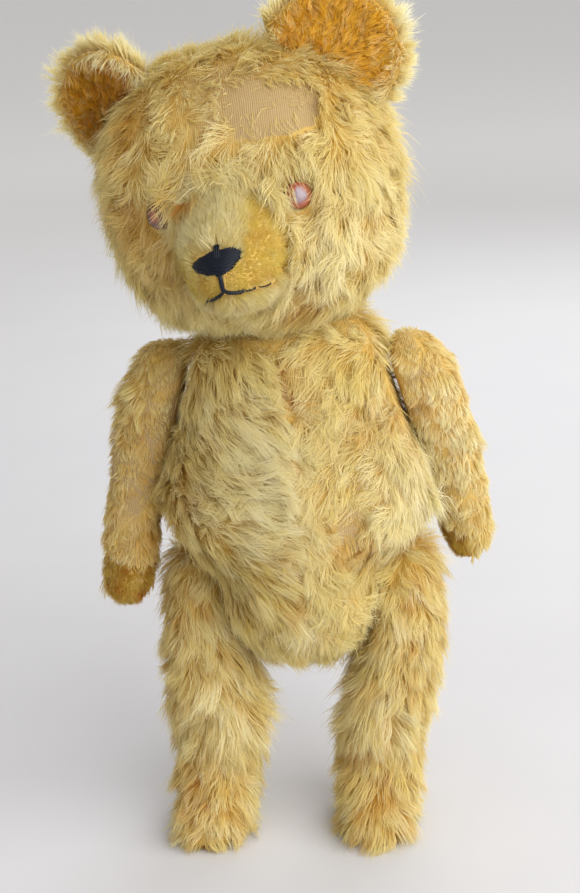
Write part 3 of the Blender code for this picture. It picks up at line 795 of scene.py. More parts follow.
def strand_mesh(name, points, half, shares, tint):
    """Puts the strips' points, triangles, colours and bake cells in a mesh."""
    count, width = points.shape[:2]
    flat = strip_triangles(width)
    mesh = bpy.data.meshes.new(name)
    mesh.vertices.add(count * width)
    mesh.vertices.foreach_set("co", points.astype(np.float32).ravel())
    corners = (flat[None, :] + width * np.arange(count)[:, None]).ravel()
    mesh.loops.add(len(corners))
    mesh.loops.foreach_set("vertex_index", corners.astype(np.int32))
    mesh.polygons.add(len(corners) // 3)
    mesh.polygons.foreach_set("loop_start", np.arange(0, len(corners), 3, dtype=np.int32))
    mesh.update(calc_edges=True)
    mesh.shade_smooth()
    colour = np.zeros((count, width, 4), np.float32)
    colour[:, :, 0] = shares[None, :]
    colour[:, :, 1:] = tint[:, None, :]
    layer = mesh.attributes.new("tint", "FLOAT_COLOR", "POINT")
    layer.data.foreach_set("color", colour.ravel())
    bake_cells(mesh, count, half[flat], shares[flat])
    return mesh


def bake_cells(mesh, count, half, shares):
    """Gives every strand its own small cell of the OFBake texture map."""
    columns = math.ceil(math.sqrt(count * 2))
    rows = math.ceil(count / columns)
    strand = np.arange(count)
    u = (strand[:, None] % columns + 0.5 + 0.6 * half[None, :]) / columns
    v = (strand[:, None] // columns + 0.1 + 0.8 * shares[None, :]) / rows
    layer = mesh.uv_layers.new(name="OFBake")
    layer.data.foreach_set("uv", np.stack([u, v], axis=2).astype(np.float32).ravel())


# %% One piece of pile
TUFT = 60  # strands
LOCK = 5
UNEVEN = {
    # shared by a tuft, shared by a lock, and each strand's own
    "turn": (0.22, 0.14, 0.10),
    "lift": (6, 5, 4),
    "length": (0.08, 0.08, 0.12),
    "curl": (0.6, 0.5, 0.3),
    "shade": (0.12, 0.14, 0.22),
}
STRAY = 0.06  # share of the strands that stand out of their lock
STRAY_LIFT = 0.7
STRAY_LENGTH = 1.25
STRAY_PULL = 0.1
LONGER_WHEN_PALE = 0.25  # faded hair was never rubbed, so it is longer; so is hair with a painted highlight
TWIST = 0.35


def uneven(rng, groups, spread):
    """A random amount for each strand: shared by its tuft, shared by its lock, and its own."""
    count = len(groups[0])
    total = spread[-1] * rng.normal(size=count)
    for group, share in zip(groups, spread):
        total += share * rng.normal(size=count)[group]
    return total


def pile(name, body, roots, finish, rng, steps=LONG, width=0.3, pull=(0.25, 0.25), tousle=1.0):
    """Draws the roots as strands, gathers them in locks and tufts, and makes the piece."""
    count = len(roots)
    groups = leaders(roots.place, TUFT, rng), leaders(roots.place, LOCK, rng)
    turn = tousle * uneven(rng, groups, UNEVEN["turn"])
    across = np.cross(roots.out, roots.comb)
    roots.comb = unit(roots.comb * np.cos(turn)[:, None] + across * np.sin(turn)[:, None])
    roots.lift = roots.lift + tousle * uneven(rng, groups, UNEVEN["lift"])
    longer = 1 + LONGER_WHEN_PALE * roots.fade + uneven(rng, groups, UNEVEN["length"])
    wild = rng.random(count) < STRAY
    roots.lift = np.where(wild, roots.lift * STRAY_LIFT, roots.lift)
    roots.length = roots.length * longer * np.where(wild, STRAY_LENGTH, 1.0)
    lines = drawn(roots, steps, uneven(rng, groups, UNEVEN["curl"]))
    shares = np.array(steps)[None, :, None] ** 1.3
    for group, share in zip(groups[::-1], pull[::-1]):
        held = np.where(wild, STRAY_PULL, share * rng.uniform(0.6, 1.2, count))[:, None, None]
        lines = lines + (lines[group] - lines) * held * shares
    chance = np.clip(0.5 + uneven(rng, groups, UNEVEN["shade"]), 0, 1)
    tint = np.stack([chance, roots.fade, roots.warm], axis=1)
    twist = rng.normal(size=count) * TWIST
    wide = width * MM * rng.uniform(0.7, 1.2, count)
    mesh = ribbon_mesh(name, lines, roots.out, wide, twist, tint, steps)
    mesh.materials.append(finish)
    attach(add_piece(name, mesh), body)
    print(name, "strands:", count, "triangles:", len(mesh.polygons))


# %% [markdown]
# ## The finishes
#
# Old gold mohair is deep gold at the root and bleached to straw at the tip, because light
# and dust reach only the tips. Where it is rubbed away, the woven backing shows: a pinkish
# tan cotton with fine ribs.


# %% Pile finish
SHOWS_THROUGH = 0.55
DEEP_ORANGE_FROM = 0.75  # how high warmth and painted shade are where the deep orange starts
DEEP_ORANGE_AND_SHADE = srgb("B87830")


def pile_paint(name, *codes):
    """Hair that pales from root to tip. Faded places and painted highlights are paler; warm places
    and painted shade are golden to deep orange.
    """
    deep, body, tip, pale, warm_and_shade_colour = (srgb(code) for code in codes)
    paint = Paint(name)
    tint = paint.attribute("tint", "Color")
    along, chance, fade = paint.parts(tint)
    warm = paint.attribute("tint", "Alpha")
    reach = along.step(0.0, 0.9)
    below = paint.mix(reach, deep, body)
    above = paint.mix(chance, body, tip)
    colour = paint.mix(reach, below, above)
    # Faded hair and painted highlights turn pale; warmth and painted shade turn golden, and at
    # their strongest deep orange.
    colour = paint.mix((fade * (0.35 + 0.65 * along)).clamped(), colour, pale)
    colour = paint.mix((warm * (1.05 - 0.4 * along)).clamped(), colour, warm_and_shade_colour)
    colour = paint.mix(warm.step(DEEP_ORANGE_FROM, 1.0) * (0.9 - 0.4 * along), colour, DEEP_ORANGE_AND_SHADE)
    rough = 0.38 + 0.2 * chance
    paint.shader.inputs["Specular IOR Level"].default_value = 0.4
    paint.lit_through(colour, SHOWS_THROUGH)
    return paint.finish(Base_Color=colour, Roughness=rough)


mohair = pile_paint("mohair", "E0C468", "EADA92", "F1EABC", "F7F5DE", "D8AC42")
short_plush = pile_paint("short_plush", "CEB044", "D6C056", "DECE78", "EBE4BE", "BC8420")
golden_plush = pile_paint("golden_plush", "DAA81C", "E5B82C", "EDC74C", "F6F0D0", "C8820F")


# %% Woven backing
RIB = 0.8 * MM
PICK = 0.5 * MM  # from one crossing thread to the next
WANDER = 0.6 * MM
RELIEF = 0.25 * MM


def backing_paint():
    """Ribbed cotton backing, with painted golden shade between the roots of the pile."""
    paint = Paint("woven_backing")
    x, y, z = paint.parts(paint.place())
    wander = paint.noise(90.0, 2.0) * WANDER
    rib = ((x + 0.2 * y + wander) * (2 * math.pi / RIB)).maths("SINE") * 0.5 + 0.5
    pick = ((z + wander) * (2 * math.pi / PICK)).maths("SINE") * 0.5 + 0.5
    blotch = paint.noise(60.0, 4.0)
    bare = paint.attribute("bare").step(0.15, 0.7)
    cotton = paint.mix(rib * 0.6 + blotch * 0.4, srgb("937950"), srgb("B09667"))
    # Painted shade: under thick pile the backing takes the deep gold of the pile's shaded depths.
    shaded_under_pile = paint.mix(blotch, srgb("B08C40"), srgb("D2B262"))
    colour = paint.mix(bare, shaded_under_pile, cotton)
    raised = paint.bump(rib * 0.75 + pick * 0.25, RELIEF, 0.6)
    return paint.finish(Base_Color=colour, Roughness=0.85, Normal=raised)


woven_backing = backing_paint()

# %% [markdown]
# ## Pressed places
#
# Where two parts lie against each other the pile is crushed flat, so hardly any strand
# stands there. The same test keeps strands out of the pin joints.

# %% Crushed pile at the joints
CRUSH_DEPTH = 6 * MM
CRUSH_REACH = {"neck": 27 * MM, "shoulder": 14 * MM, "hip": 21 * MM}
CRUSH_EDGE = 8 * MM


def free_of_joints(roots, body):
    """0 where another part is pressed on the skin, 1 where it is free."""
    free = np.ones(len(roots))
    for name, joint in joints.items():
        if body not in (joint["parent"], joint["child"]):
            continue
        at, out = joint_frame(joint)
        gap = roots.place - at
        depth = gap @ out
        reach = np.linalg.norm(gap - depth[:, None] * out, axis=1)
        full = CRUSH_REACH[name.split("_")[0]]
        inside = 1 - ramp(reach, full, full + CRUSH_EDGE)
        free *= 1 - inside * (1 - ramp(np.abs(depth), 0.3 * CRUSH_DEPTH, CRUSH_DEPTH))
    return free


def where_free(roots, body, least):
    """1 where nothing is pressed on the skin, and at the joints no less than least."""
    return least + (1 - least) * free_of_joints(roots, body)


def denser_in_front(roots, least):
    """1 on the front of the bear and least on its back, where fewer strands do."""
    return least + (1 - least) * ramp(-roots.out[:, 1], -0.5, 0.4)


def away_from(roots, at):
    """The way along the skin that leads away from a point."""
    way = roots.place - at
    way -= (way * roots.out).sum(axis=1, keepdims=True) * roots.out
    return unit(way)


def paint_skin(piece, members, bare):
    """Stores how bare the backing is, and gives the skin its finish."""
    mesh = piece.data
    points = points_of(mesh)
    panel, seam = piece_chart(piece, members)
    roots = Roots(points, normals_of(mesh), panel, seam)
    layer = mesh.attributes.new("bare", "FLOAT", "POINT")
    layer.data.foreach_set("value", np.clip(bare(roots), 0, 1).astype(np.float32))
    mesh.materials.clear()
    mesh.materials.append(woven_backing)


# %% [markdown]
# ## The torso's pile
#
# The chest and belly have the longest hair that is left. On the bear's right half it has
# been stroked across towards the middle seam; on the left half it hangs down and is worn
# thin and matted in the middle.

# %% Torso strokes: place in mm, direction, reach in mm
TORSO_COMB = [
    ((-34, -3, 224), (0.6, 0, -0.8), 20),
    ((-24, -14, 208), (0.75, 0, -0.65), 20),
    ((-11, -20, 190), (0.95, 0, -0.4), 18),
    ((-40, -10, 190), (0.8, 0, -0.55), 22),
    ((-30, -18, 178), (0.95, 0, -0.3), 22),
    ((-62, 5, 190), (0.5, -0.7, -0.5), 24),
    ((-66, 5, 155), (0.5, -0.8, -0.2), 24),
    ((-58, 5, 125), (0.5, -0.7, -0.5), 22),
    ((-18, -26, 160), (0.98, 0, 0.1), 22),
    ((-40, -14, 155), (0.95, 0, 0.1), 20),
    ((-32, -15, 134), (0.85, 0, -0.5), 16),
    ((-12, -24, 132), (0.85, 0, -0.45), 16),
    ((-14, -10, 108), (0.4, 0, -0.9), 16),
    ((5, -18, 205), (-0.1, 0, -1), 10),
    ((5, -27, 175), (-0.1, 0, -1), 10),
    ((4, -27, 140), (0.0, 0, -1), 10),
    ((15, -9, 226), (-0.5, 0, -0.85), 18),
    ((34, -5, 214), (-0.7, 0, -0.7), 20),
    ((40, -2, 190), (-0.85, 0, -0.5), 20),
    ((24, -18, 190), (-0.6, 0, -0.8), 18),
    ((28, -24, 170), (-0.5, 0, -0.85), 18),
    ((46, -8, 160), (-0.4, 0, -0.9), 20),
    ((26, -20, 130), (-0.1, 0, -1), 18),
    ((44, -5, 138), (-0.3, 0, -0.95), 18),
    ((14, -12, 108), (0.6, 0, -0.7), 14),
]
TORSO_WORN = [
    ((22, -22, 178), 15, 0.65),
    ((25, -27, 153), 14, 0.75),
    ((12, -12, 218), 9, 0.3),
    ((-60, 20, 170), 14, 0.3),
]
# Paler spots: faded hair, and painted highlights on the chest.
TORSO_FADE_AND_HIGHLIGHT = [
    ((-12, -20, 190), 20, 0.5),
    ((-25, -24, 172), 24, 0.4),
    ((-10, -27, 158), 16, 0.4),
    ((50, 0, 175), 22, 0.7),
    ((44, -5, 145), 18, 0.4),
    ((3, -22, 116), 7, 0.9),
    ((-25, -10, 205), 14, 0.25),
]
TORSO_LONG = [
    ((58, 0, 172), 18, 0.45),
    ((52, -4, 198), 12, 0.3),
    ((2, -18, 112), 14, 0.25),
]
# Warmer, darker spots, partly painted shade: at the top of the middle seam and in dents of the
# pile.
TORSO_WARM_AND_SHADE = [
    ((1, -14, 220), 5, 1.4),
    ((1, -16, 213), 5, 1.4),
    ((1, -18, 206), 4, 1.2),
    ((-4, -27, 124), 5, 0.8),
    ((22, -28, 152), 11, 0.75),
    ((21, -28, 159), 4, 0.5),
    ((34, -16, 148), 8, 0.6),
    ((39, -5, 203), 5, 1.1),
    ((32, -13, 194), 5, 0.8),
    ((50, 0, 188), 6, 1.1),
    ((46, -4, 212), 4, 0.8),
    ((-52, -8, 170), 12, 0.5),
    ((-44, -8, 140), 10, 0.4),
]


def torso_worn(roots):
    worn = chart(roots.place, TORSO_WORN) + 0.08 * waves(roots.place, 22 * MM, 11)
    return np.clip(worn, 0, 0.9)


def torso_thickness(roots):
    parted = ramp(roots.seam, 0.2 * MM, 1.4 * MM)
    worn = 1 - 0.7 * torso_worn(roots)
    return denser_in_front(roots, 0.75) * parted * worn * where_free(roots, "torso", 0.1)


def torso_roots(roots):
    """Sets how the torso's strands lie, how long they are and how they are coloured."""
    place = roots.place
    worn = torso_worn(roots)
    roots.comb = combed(place, roots.out, TORSO_COMB)
    roots.length = (13 - 7 * worn + 1.5 * waves(place, 16 * MM, 12)) * MM
    roots.length *= (1 + chart(place, TORSO_LONG)) * where_free(roots, "torso", 0.45)
    roots.length *= 0.5 + 0.5 * ramp(roots.seam, 0, 6 * MM)
    roots.lie(48 + 16 * worn + 8 * waves(place, 14 * MM, 13), 84 + 4 * waves(place, 12 * MM, 14))
    fade = chart(place, TORSO_FADE_AND_HIGHLIGHT) + 0.16 * waves(place, 9 * MM, 15)
    # Painted shade: the hair is warmer in the crease along the middle seam.
    seam = 1 - ramp(roots.seam, 0, 2.5 * MM)
    warm = chart(place, TORSO_WARM_AND_SHADE) + 0.16 * waves(place, 12 * MM, 16) - 0.12 + 0.35 * seam
    roots.shade(fade, warm)
    return roots


# %% Torso pile
TORSO_STRANDS = 80000
MATTED = 12  # how much flatter the hair lies on the left half, in degrees


def swirled(comb, roots, amount, size, seed):
    """A combing direction turned this way and that, so that the hair lies in swirls."""
    turn = (amount * waves(roots.place, size, seed))[:, None]
    return unit(comb * np.cos(turn) + np.cross(roots.out, comb) * np.sin(turn))


def halves(roots, at=0.0):
    """The roots on the bear's right and those on its left of an upright plane."""
    right = roots.place[:, 0] < at
    return roots.kept(right), roots.kept(~right)


rng = np.random.default_rng(1903)
torso = skins["torso"]
paint_skin(torso, SHELL["torso"], torso_worn)
found = scatter(torso, SHELL["torso"], TORSO_STRANDS, rng, torso_thickness)
right, left = halves(torso_roots(found))
left.comb = swirled(left.comb, left, 0.6, 12 * MM, 17)
left.lie(left.lift + MATTED, left.fall + MATTED / 4)
pile("torso_pile_right", "torso", right, mohair, rng, pull=(0.4, 0.35))
pile("torso_pile_left", "torso", left, mohair, rng, tousle=0.7)

# %% [markdown]
# ## The head's own frame
#
# The head sits on its joint tilted, nodding and turned to the bear's right. The face is set
# out in that frame, in millimetres across and up, as it is when the head is cut and sewn.

# %% Head frame
HEAD_TILT = math.radians(7.5)
HEAD_NOD = math.radians(4.5)
HEAD_TURN = math.radians(-8)
AHEAD = Vector((0, -1, 0))

head_place = Matrix.Translation(joints["neck"]["pos_m"])
head_place = head_place @ Matrix.Rotation(-HEAD_TILT, 4, "Y") @ Matrix.Rotation(HEAD_NOD, 4, "X")
head_place = head_place @ Matrix.Rotation(HEAD_TURN, 4, "Z")
into_head = np.array(head_place.inverted())


def in_head(places):
    """Places in the head's frame, in millimetres: across, behind and up."""
    return (places @ into_head[:3, :3].T + into_head[:3, 3]) / MM


def tree_of(meshes):
    """A tree for finding where lines meet some meshes."""
    points, faces, shift = [], [], 0
    for mesh in meshes:
        points += points_of(mesh).tolist()
        faces += (triangles_of(mesh) + shift).tolist()
        shift = len(points)
    return BVHTree.FromPolygons(points, faces)


def on_face(tree, across, up):
    """Where a line from straight ahead meets the face, and the face's normal there."""
    start = head_place @ Vector((across * MM, -200 * MM, up * MM))
    way = head_place.to_3x3() @ -AHEAD
    spot, normal, _, _ = tree.ray_cast(start, way)
    return spot, normal


EYE_AT = (27, 58)  # across and up, mm in the head's frame
EYE_BARE = {"left": 6.4, "right": 5.2}  # how far from its middle an eye is clear of hair, mm


def clear_of_eyes(roots):
    """0 over the glass eyes and 1 away from them."""
    place = in_head(roots.place)
    gap = np.hypot(np.abs(place[:, 0]) - EYE_AT[0], place[:, 2] - EYE_AT[1])
    bare = np.where(place[:, 0] > 0, EYE_BARE["left"], EYE_BARE["right"])
    return np.where(place[:, 1] < 0, ramp(gap - bare, 0, 1.5), 1.0)


# %% [markdown]
# ## The head's pile
#
# The crown and cheeks keep their long hair. Between the crown and the bear's left eye it is
# rubbed down to the ribbed backing, a patch about as wide as a thumb. The hair round the
# patch lies over its edge.

# %% Head strokes
HEAD_COMB = [
    ((-26, 2, 341), (0.7, -0.5, -0.6), 20),
    ((-5, -5, 341), (0.6, -0.6, -0.6), 16),
    ((-42, -13, 328), (0.5, -0.2, -0.85), 18),
    ((-22, -25, 318), (0.35, -0.1, -0.95), 16),
    ((-30, -28, 303), (-0.3, 0, -0.95), 14),
    ((-10, -30, 304), (0.1, -0.3, -0.9), 14),
    ((8, -30, 306), (0.5, -0.2, -0.8), 14),
    ((30, -12, 327), (-0.6, -0.1, -0.8), 14),
    ((22, -26, 309), (0.2, 0, -1), 14),
    ((36, -15, 305), (-0.3, 0, -0.95), 18),
    ((26, -25, 278), (-0.6, 0, -0.8), 18),
    ((42, -8, 280), (-0.5, 0, -0.85), 20),
    ((12, -27, 260), (-0.7, 0, -0.7), 16),
    ((-42, -20, 275), (-0.35, 0, -0.95), 20),
    ((-36, -18, 255), (-0.1, 0, -1), 18),
    ((-60, 0, 290), (-0.1, 0, -1), 22),
    ((55, 5, 300), (0.1, 0, -1), 22),
    ((0, 60, 300), (0, 0, -1), 40),
]
HEAD_BARE = [
    ((13, -22, 327), 9, 1.1),
    ((2, -22, 329), 9, 1.1),
    ((12, -25, 322), 8, 0.9),
    ((2, -27, 322), 9, 1.0),
    ((-8, -26, 323), 8, 0.7),
    ((-8, -23, 329), 9, 0.8),
    ((-17, -22, 328), 7, 0.5),
]
HEAD_WORN = [
    ((0, -14, 338), 22, 0.4),
    ((-26, -12, 334), 20, 0.4),
    ((-20, -26, 317), 14, 0.35),
    ((-2, -28, 316), 10, 0.3),
    ((-52, -16, 276), 12, 0.35),
    ((-50, 10, 330), 14, 0.2),
]
HEAD_FADE = [
    ((24, -26, 278), 18, 0.4),
    ((10, -28, 262), 14, 0.4),
    ((40, -8, 285), 18, 0.3),
    ((-10, -30, 305), 14, 0.3),
    ((-24, -24, 317), 10, 0.4),
]
# Warmer, darker spots, partly painted shade: along the top edge of the muzzle and over the bear's
# right cheek, on the side away from the window lamp.
HEAD_WARM_AND_SHADE = [
    ((-52, -6, 318), 9, 0.8),
    ((30, -14, 338), 9, 0.7),
    ((12, -18, 249), 9, 0.8),
    ((-29, -28, 291), 5, 1.3),
    ((-52, -17, 277), 16, 0.55),
    ((-57, -14, 293), 12, 0.5),
    ((-38, -20, 262), 10, 0.4),
]


# %% Head pile
HEAD_STRANDS = 66000
HEAD_PARTING = -8 * MM  # where the two pieces of the head's pile meet
MUZZLE_PANEL = SHELL["head"].index("muzzle")


def head_worn(roots):
    edge = 0.12 * waves(roots.place, 9 * MM, 21) + 0.08 * waves(roots.place, 4 * MM, 22)
    bare = chart(roots.place, HEAD_BARE)
    bare = ramp(bare + edge * ramp(bare, 0.1, 0.5), 0.45, 0.75)
    return np.clip(np.maximum(bare, chart(roots.place, HEAD_WORN)), 0, 1)


def head_thickness(roots):
    cloth = (roots.panel != MUZZLE_PANEL) * (1 - 0.93 * head_worn(roots))
    free = clear_of_eyes(roots) * where_free(roots, "head", 0.1)
    return denser_in_front(roots, 0.7) * cloth * free


def head_roots(roots):
    place = roots.place
    worn = head_worn(roots)
    roots.comb = swirled(combed(place, roots.out, HEAD_COMB), roots, 0.7, 12 * MM, 28)
    roots.length = (12.5 - 7.5 * worn + 1.5 * waves(place, 18 * MM, 23)) * MM
    roots.length *= where_free(roots, "head", 0.4)
    roots.lie(46 + 12 * worn + 7 * waves(place, 15 * MM, 24), 80 + 5 * waves(place, 12 * MM, 25))
    fade = chart(place, HEAD_FADE) + 0.16 * waves(place, 9 * MM, 26)
    warm = chart(place, HEAD_WARM_AND_SHADE) + 0.14 * waves(place, 12 * MM, 27) - 0.08
    roots.shade(fade, warm)
    return roots


head = skins["head"]
paint_skin(head, SHELL["head"], head_worn)
found = head_roots(scatter(head, SHELL["head"], HEAD_STRANDS, rng, head_thickness))
for side, roots in zip(("right", "left"), halves(found, at=HEAD_PARTING)):
    pile(f"head_pile_{side}", "head", roots, mohair, rng, tousle=1.3)


# %% [markdown]
# ## Muzzle
#
# The muzzle is a separate cap of short plush. It is clipped closer than the rest. On the
# bear's right it has grown out in creamy tufts; on the left it is a smooth golden velvet.

# %% Muzzle pile
MUZZLE_STRANDS = 30000
NOSE_AT = (0.5, 46.2)
NOSE_HALF = (9.6, 4.3)  # the oval that is kept clear of plush, half across and half up
NOSE_TIP = (0.5, -88, 43.2)  # the plush is combed away from here
MOUTH = [
    # ends (across, up) in mm, thickness, sag
    ((2.2, 43.0), (2.1, 35.6), 0.86, 0.0),
    ((2.1, 36.0), (-6.4, 31.6), 0.66, 0.3),
    ((-5.6, 31.9), (-8.4, 30.6), 0.44, 0.0),
    ((2.1, 36.0), (8.6, 34.4), 0.7, 0.4),
    ((8.2, 34.5), (12.0, 33.7), 0.34, 0.1),
    ((12.6, 33.5), (16.0, 32.4), 0.26, 0.1),
]


def clear_of_mouth(place):
    """0 under the stitches of the mouth and 1 away from them, in the head's frame."""
    spots = place[:, (0, 2)]
    nearest = np.full(len(place), 1e3)
    for start, end, _, _ in MOUTH:
        start, way = np.array(start), np.subtract(end, start)
        along = np.clip((spots - start) @ way / (way @ way), 0, 1)[:, None]
        nearest = np.minimum(nearest, np.linalg.norm(spots - start - along * way, axis=1))
    return ramp(nearest, 0.7, 1.6)


def muzzle_thickness(roots):
    place = in_head(roots.place)
    under_nose = np.linalg.norm((place[:, (0, 2)] - NOSE_AT) / NOSE_HALF, axis=1)
    ahead = place[:, 1] < -60
    cleared = ramp(under_nose, 0.75, 1.0) * clear_of_mouth(place)
    return (roots.panel == MUZZLE_PANEL) * np.where(ahead, cleared, 1.0)


def muzzle_roots(roots):
    place = in_head(roots.place)
    roots.comb = away_from(roots, np.array(head_place @ (Vector(NOSE_TIP) * MM)))
    tufty = ramp(13 - place[:, 0], 0, 8) * ramp(place[:, 2], 40, 52)
    chin = ramp(-place[:, 2], -37, -30)
    border = 1 - ramp(roots.seam, 0, 7 * MM)
    roots.length = (1.9 + 3.2 * tufty + 2.4 * chin + 3.0 * border) * MM
    roots.lie(25 + 15 * tufty, 58 + 12 * tufty)
    fade = 0.8 * tufty + 0.65 * chin + 0.3 * border + 0.12 * waves(roots.place, 6 * MM, 31)
    roots.shade(fade, 0.1 - 0.3 * tufty + 0.15 * waves(roots.place, 10 * MM, 32))
    return roots


found = muzzle_roots(scatter(head, SHELL["head"], MUZZLE_STRANDS, rng, muzzle_thickness))
pile("muzzle_pile", "head", found, short_plush, rng, SHORT, width=0.4, pull=(0.06, 0.12))


# %% [markdown]
# ## Arms and legs
#
# Both arms are rubbed short from handling, and the backing shows through. The legs have kept
# long locks that hang over the ankles. Each paw and sole has a pad of short golden plush.

# %% Limb strokes
LIMB_FINISH = {
    # length mm, worn, strands
    "arm": (6.5, 0.3, 17000),
    "leg": (12.5, 0.05, 25000),
}
LIMB_COMB = {
    "arm_left": [],
    "arm_right": [],
    "leg_left": [((26, 0, 90), (-0.35, 0, -0.9), 16), ((50, 0, 60), (0.2, 0, -1), 18)],
    "leg_right": [((-22, 0, 90), (0.35, 0, -0.9), 16), ((-60, 0, 60), (-0.2, 0, -1), 18)],
}
LIMB_WORN = {
    "arm_left": [((68, 0, 160), 16, 0.35), ((60, 0, 200), 16, 0.25)],
    "arm_right": [((-60, 0, 200), 20, 0.3), ((-66, 0, 170), 18, 0.4), ((-74, -5, 135), 14, 0.35)],
    "leg_left": [((48, -22, 8), 10, 0.6)],
    "leg_right": [((-40, -22, 8), 12, 0.85)],
}
# Paler spots: faded hair, and painted highlights on the inner knees.
LIMB_FADE_AND_HIGHLIGHT = {
    "arm_left": [((68, 0, 180), 40, 0.5), ((72, 0, 170), 22, 0.3), ((80, 0, 140), 16, 0.5)],
    "arm_right": [],
    "leg_left": [((26, -8, 62), 14, 0.9), ((44, -10, 100), 14, 0.3), ((34, -10, 40), 8, 0.5)],
    "leg_right": [((-24, -8, 88), 14, 0.9), ((-44, -12, 60), 12, 0.6), ((-22, -2, 60), 10, 0.5)],
}
# Warmer, darker spots, partly painted shade: round the ankles, between the locks of the legs, along
# the inner side of the bear's right arm and over that whole arm, on the side away from the window
# lamp.
LIMB_WARM_AND_SHADE = {
    "arm_left": [((56, 6, 198), 5, 0.8)],
    "arm_right": [
        ((-56, 2, 186), 9, 0.5), ((-58, 2, 168), 9, 0.5), ((-60, 2, 148), 9, 0.5),
        ((-66, 0, 165), 50, 0.25), ((-62, 0, 124), 10, 0.5),
    ],
    "leg_left": [
        ((46, -8, 24), 12, 0.4), ((24, 0, 35), 10, 0.5), ((32, -12, 26), 10, 0.5),
        ((34, -14, 55), 8, 0.6), ((44, -14, 75), 10, 0.3),
    ],
    "leg_right": [
        ((-46, -6, 30), 12, 0.55), ((-40, -12, 20), 9, 0.45), ((-50, -12, 42), 9, 0.3),
        ((-56, -4, 78), 10, 0.4),
    ],
}
LIMB_LONG = {
    "arm_left": [],
    "arm_right": [((-76, 0, 208), 20, 1.0)],
    "leg_left": [((16, 2, 66), 17, 0.8)],
    "leg_right": [((-26, 2, 68), 18, 1.0), ((-26, 0, 52), 10, 0.4)],
}
LIMB_TUFTED = {"arm": 0.15, "leg": 0.3}  # how much the shade changes from tuft to tuft

# %% Growing the limbs
PAD_PANEL = 2
PAD_STRANDS = 4000


def limb_worn(limb):
    """How worn the cloth of a limb is, as a rule for its roots."""
    base = LIMB_FINISH[limb[:3]][1]
    seed = 40 + list(LIMB_WORN).index(limb)

    def worn(roots):
        value = base + chart(roots.place, LIMB_WORN[limb]) + 0.1 * waves(roots.place, 12 * MM, seed)
        return np.clip(value, 0, 0.95)

    return worn


def limb_roots(limb, roots, worn, seed):
    """Sets how a limb's strands lie, how long they are and how they are coloured."""
    place = roots.place
    roots.comb = combed(place, roots.out, LIMB_COMB[limb])
    length = LIMB_FINISH[limb[:3]][0]
    roots.length = (length - 5.0 * worn + 1.2 * waves(place, 14 * MM, seed)) * MM
    shaggy = chart(place, LIMB_LONG[limb])
    roots.length *= (1 + 0.7 * shaggy) * where_free(roots, limb, 0.4)
    lift = 42 + 15 * worn - 12 * shaggy + 7 * waves(place, 12 * MM, seed + 1)
    roots.lie(lift, 80 - 30 * shaggy + 5 * waves(place, 10 * MM, seed + 2))
    mixed = LIMB_TUFTED[limb[:3]]
    fade = chart(place, LIMB_FADE_AND_HIGHLIGHT[limb]) + mixed * waves(place, 7 * MM, seed + 3)
    roots.shade(fade, chart(place, LIMB_WARM_AND_SHADE[limb]) + mixed * waves(place, 8 * MM, seed + 4))
    return roots


def pad_roots(roots, seed):
    """Sets the short plush of a paw or a sole."""
    roots.comb = combed(roots.place, roots.out, [], usual=(0, -0.4, -1))
    roots.length = (2.8 + 0.5 * waves(roots.place, 8 * MM, seed)) * MM
    roots.lie(22.0, 60.0)
    roots.shade(0, 0.6 + 0.15 * waves(roots.place, 9 * MM, seed + 3))
    return roots


def grow_limb(limb):
    skin = skins[limb]
    worn_rule = limb_worn(limb)
    paint_skin(skin, SHELL[limb], worn_rule)
    seed = 50 + 5 * list(LIMB_WORN).index(limb)

    def thickness(roots):
        free = denser_in_front(roots, 0.75) * where_free(roots, limb, 0.1)
        return free * (roots.panel != PAD_PANEL) * (1 - 0.7 * worn_rule(roots))

    def on_pad(roots):
        return (roots.panel == PAD_PANEL) * 1.0

    roots = scatter(skin, SHELL[limb], LIMB_FINISH[limb[:3]][2], rng, thickness)
    roots = limb_roots(limb, roots, worn_rule(roots), seed)
    pile(f"{limb}_pile", limb, roots, mohair, rng, pull=(0.45, 0.35), tousle=1.2)
    roots = pad_roots(scatter(skin, SHELL[limb], PAD_STRANDS, rng, on_pad), seed)
    pile(f"{limb}_pad_pile", limb, roots, short_plush, rng, SHORT, width=0.4)


for limb in LIMB_WORN:
    grow_limb(limb)


# %% [markdown]
# ## Ears
#
# An ear is two half rounds sewn together: mohair behind, short plush in front. The front is
# deep orange because it never saw the light, and painted shade darkens it lower in its hollow
# and on the bear's right ear. Long pale hair of the back stands up along the rim.

# %% Ear cloth
EAR_VOXEL = 1.4 * MM


def ear_panels(side):
    return [f"ear_lining_{side}", f"ear_back_{side}"]


def ear(side):
    piece = fused(f"ear_cloth_{side}", ear_panels(side), [], EAR_VOXEL)
    mesh = piece.data
    move_points(mesh, relax(points_of(mesh), edges_of(mesh), 5))
    mesh.shade_smooth()
    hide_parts(*ear_panels(side))
    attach(piece, "head")
    paint_skin(piece, ear_panels(side), lambda roots: np.zeros(len(roots)))
    return piece


# %% Ear pile
EAR_BACK_STRANDS = 8000
EAR_LINING_STRANDS = 6000
EAR_ROOT = 20 * MM  # from the middle of an ear down to the point its pile fans out from
EAR_FOLD = 6 * MM  # from that point up to the one that the lining is combed towards
EAR_FRINGE = {"left": 0.84, "right": 0.78}  # the pale fringe starts at this share of the way out
EAR_WARM_AND_SHADE = {"left": 0.0, "right": 0.6}  # painted shade: how much warmer and darker the lining is


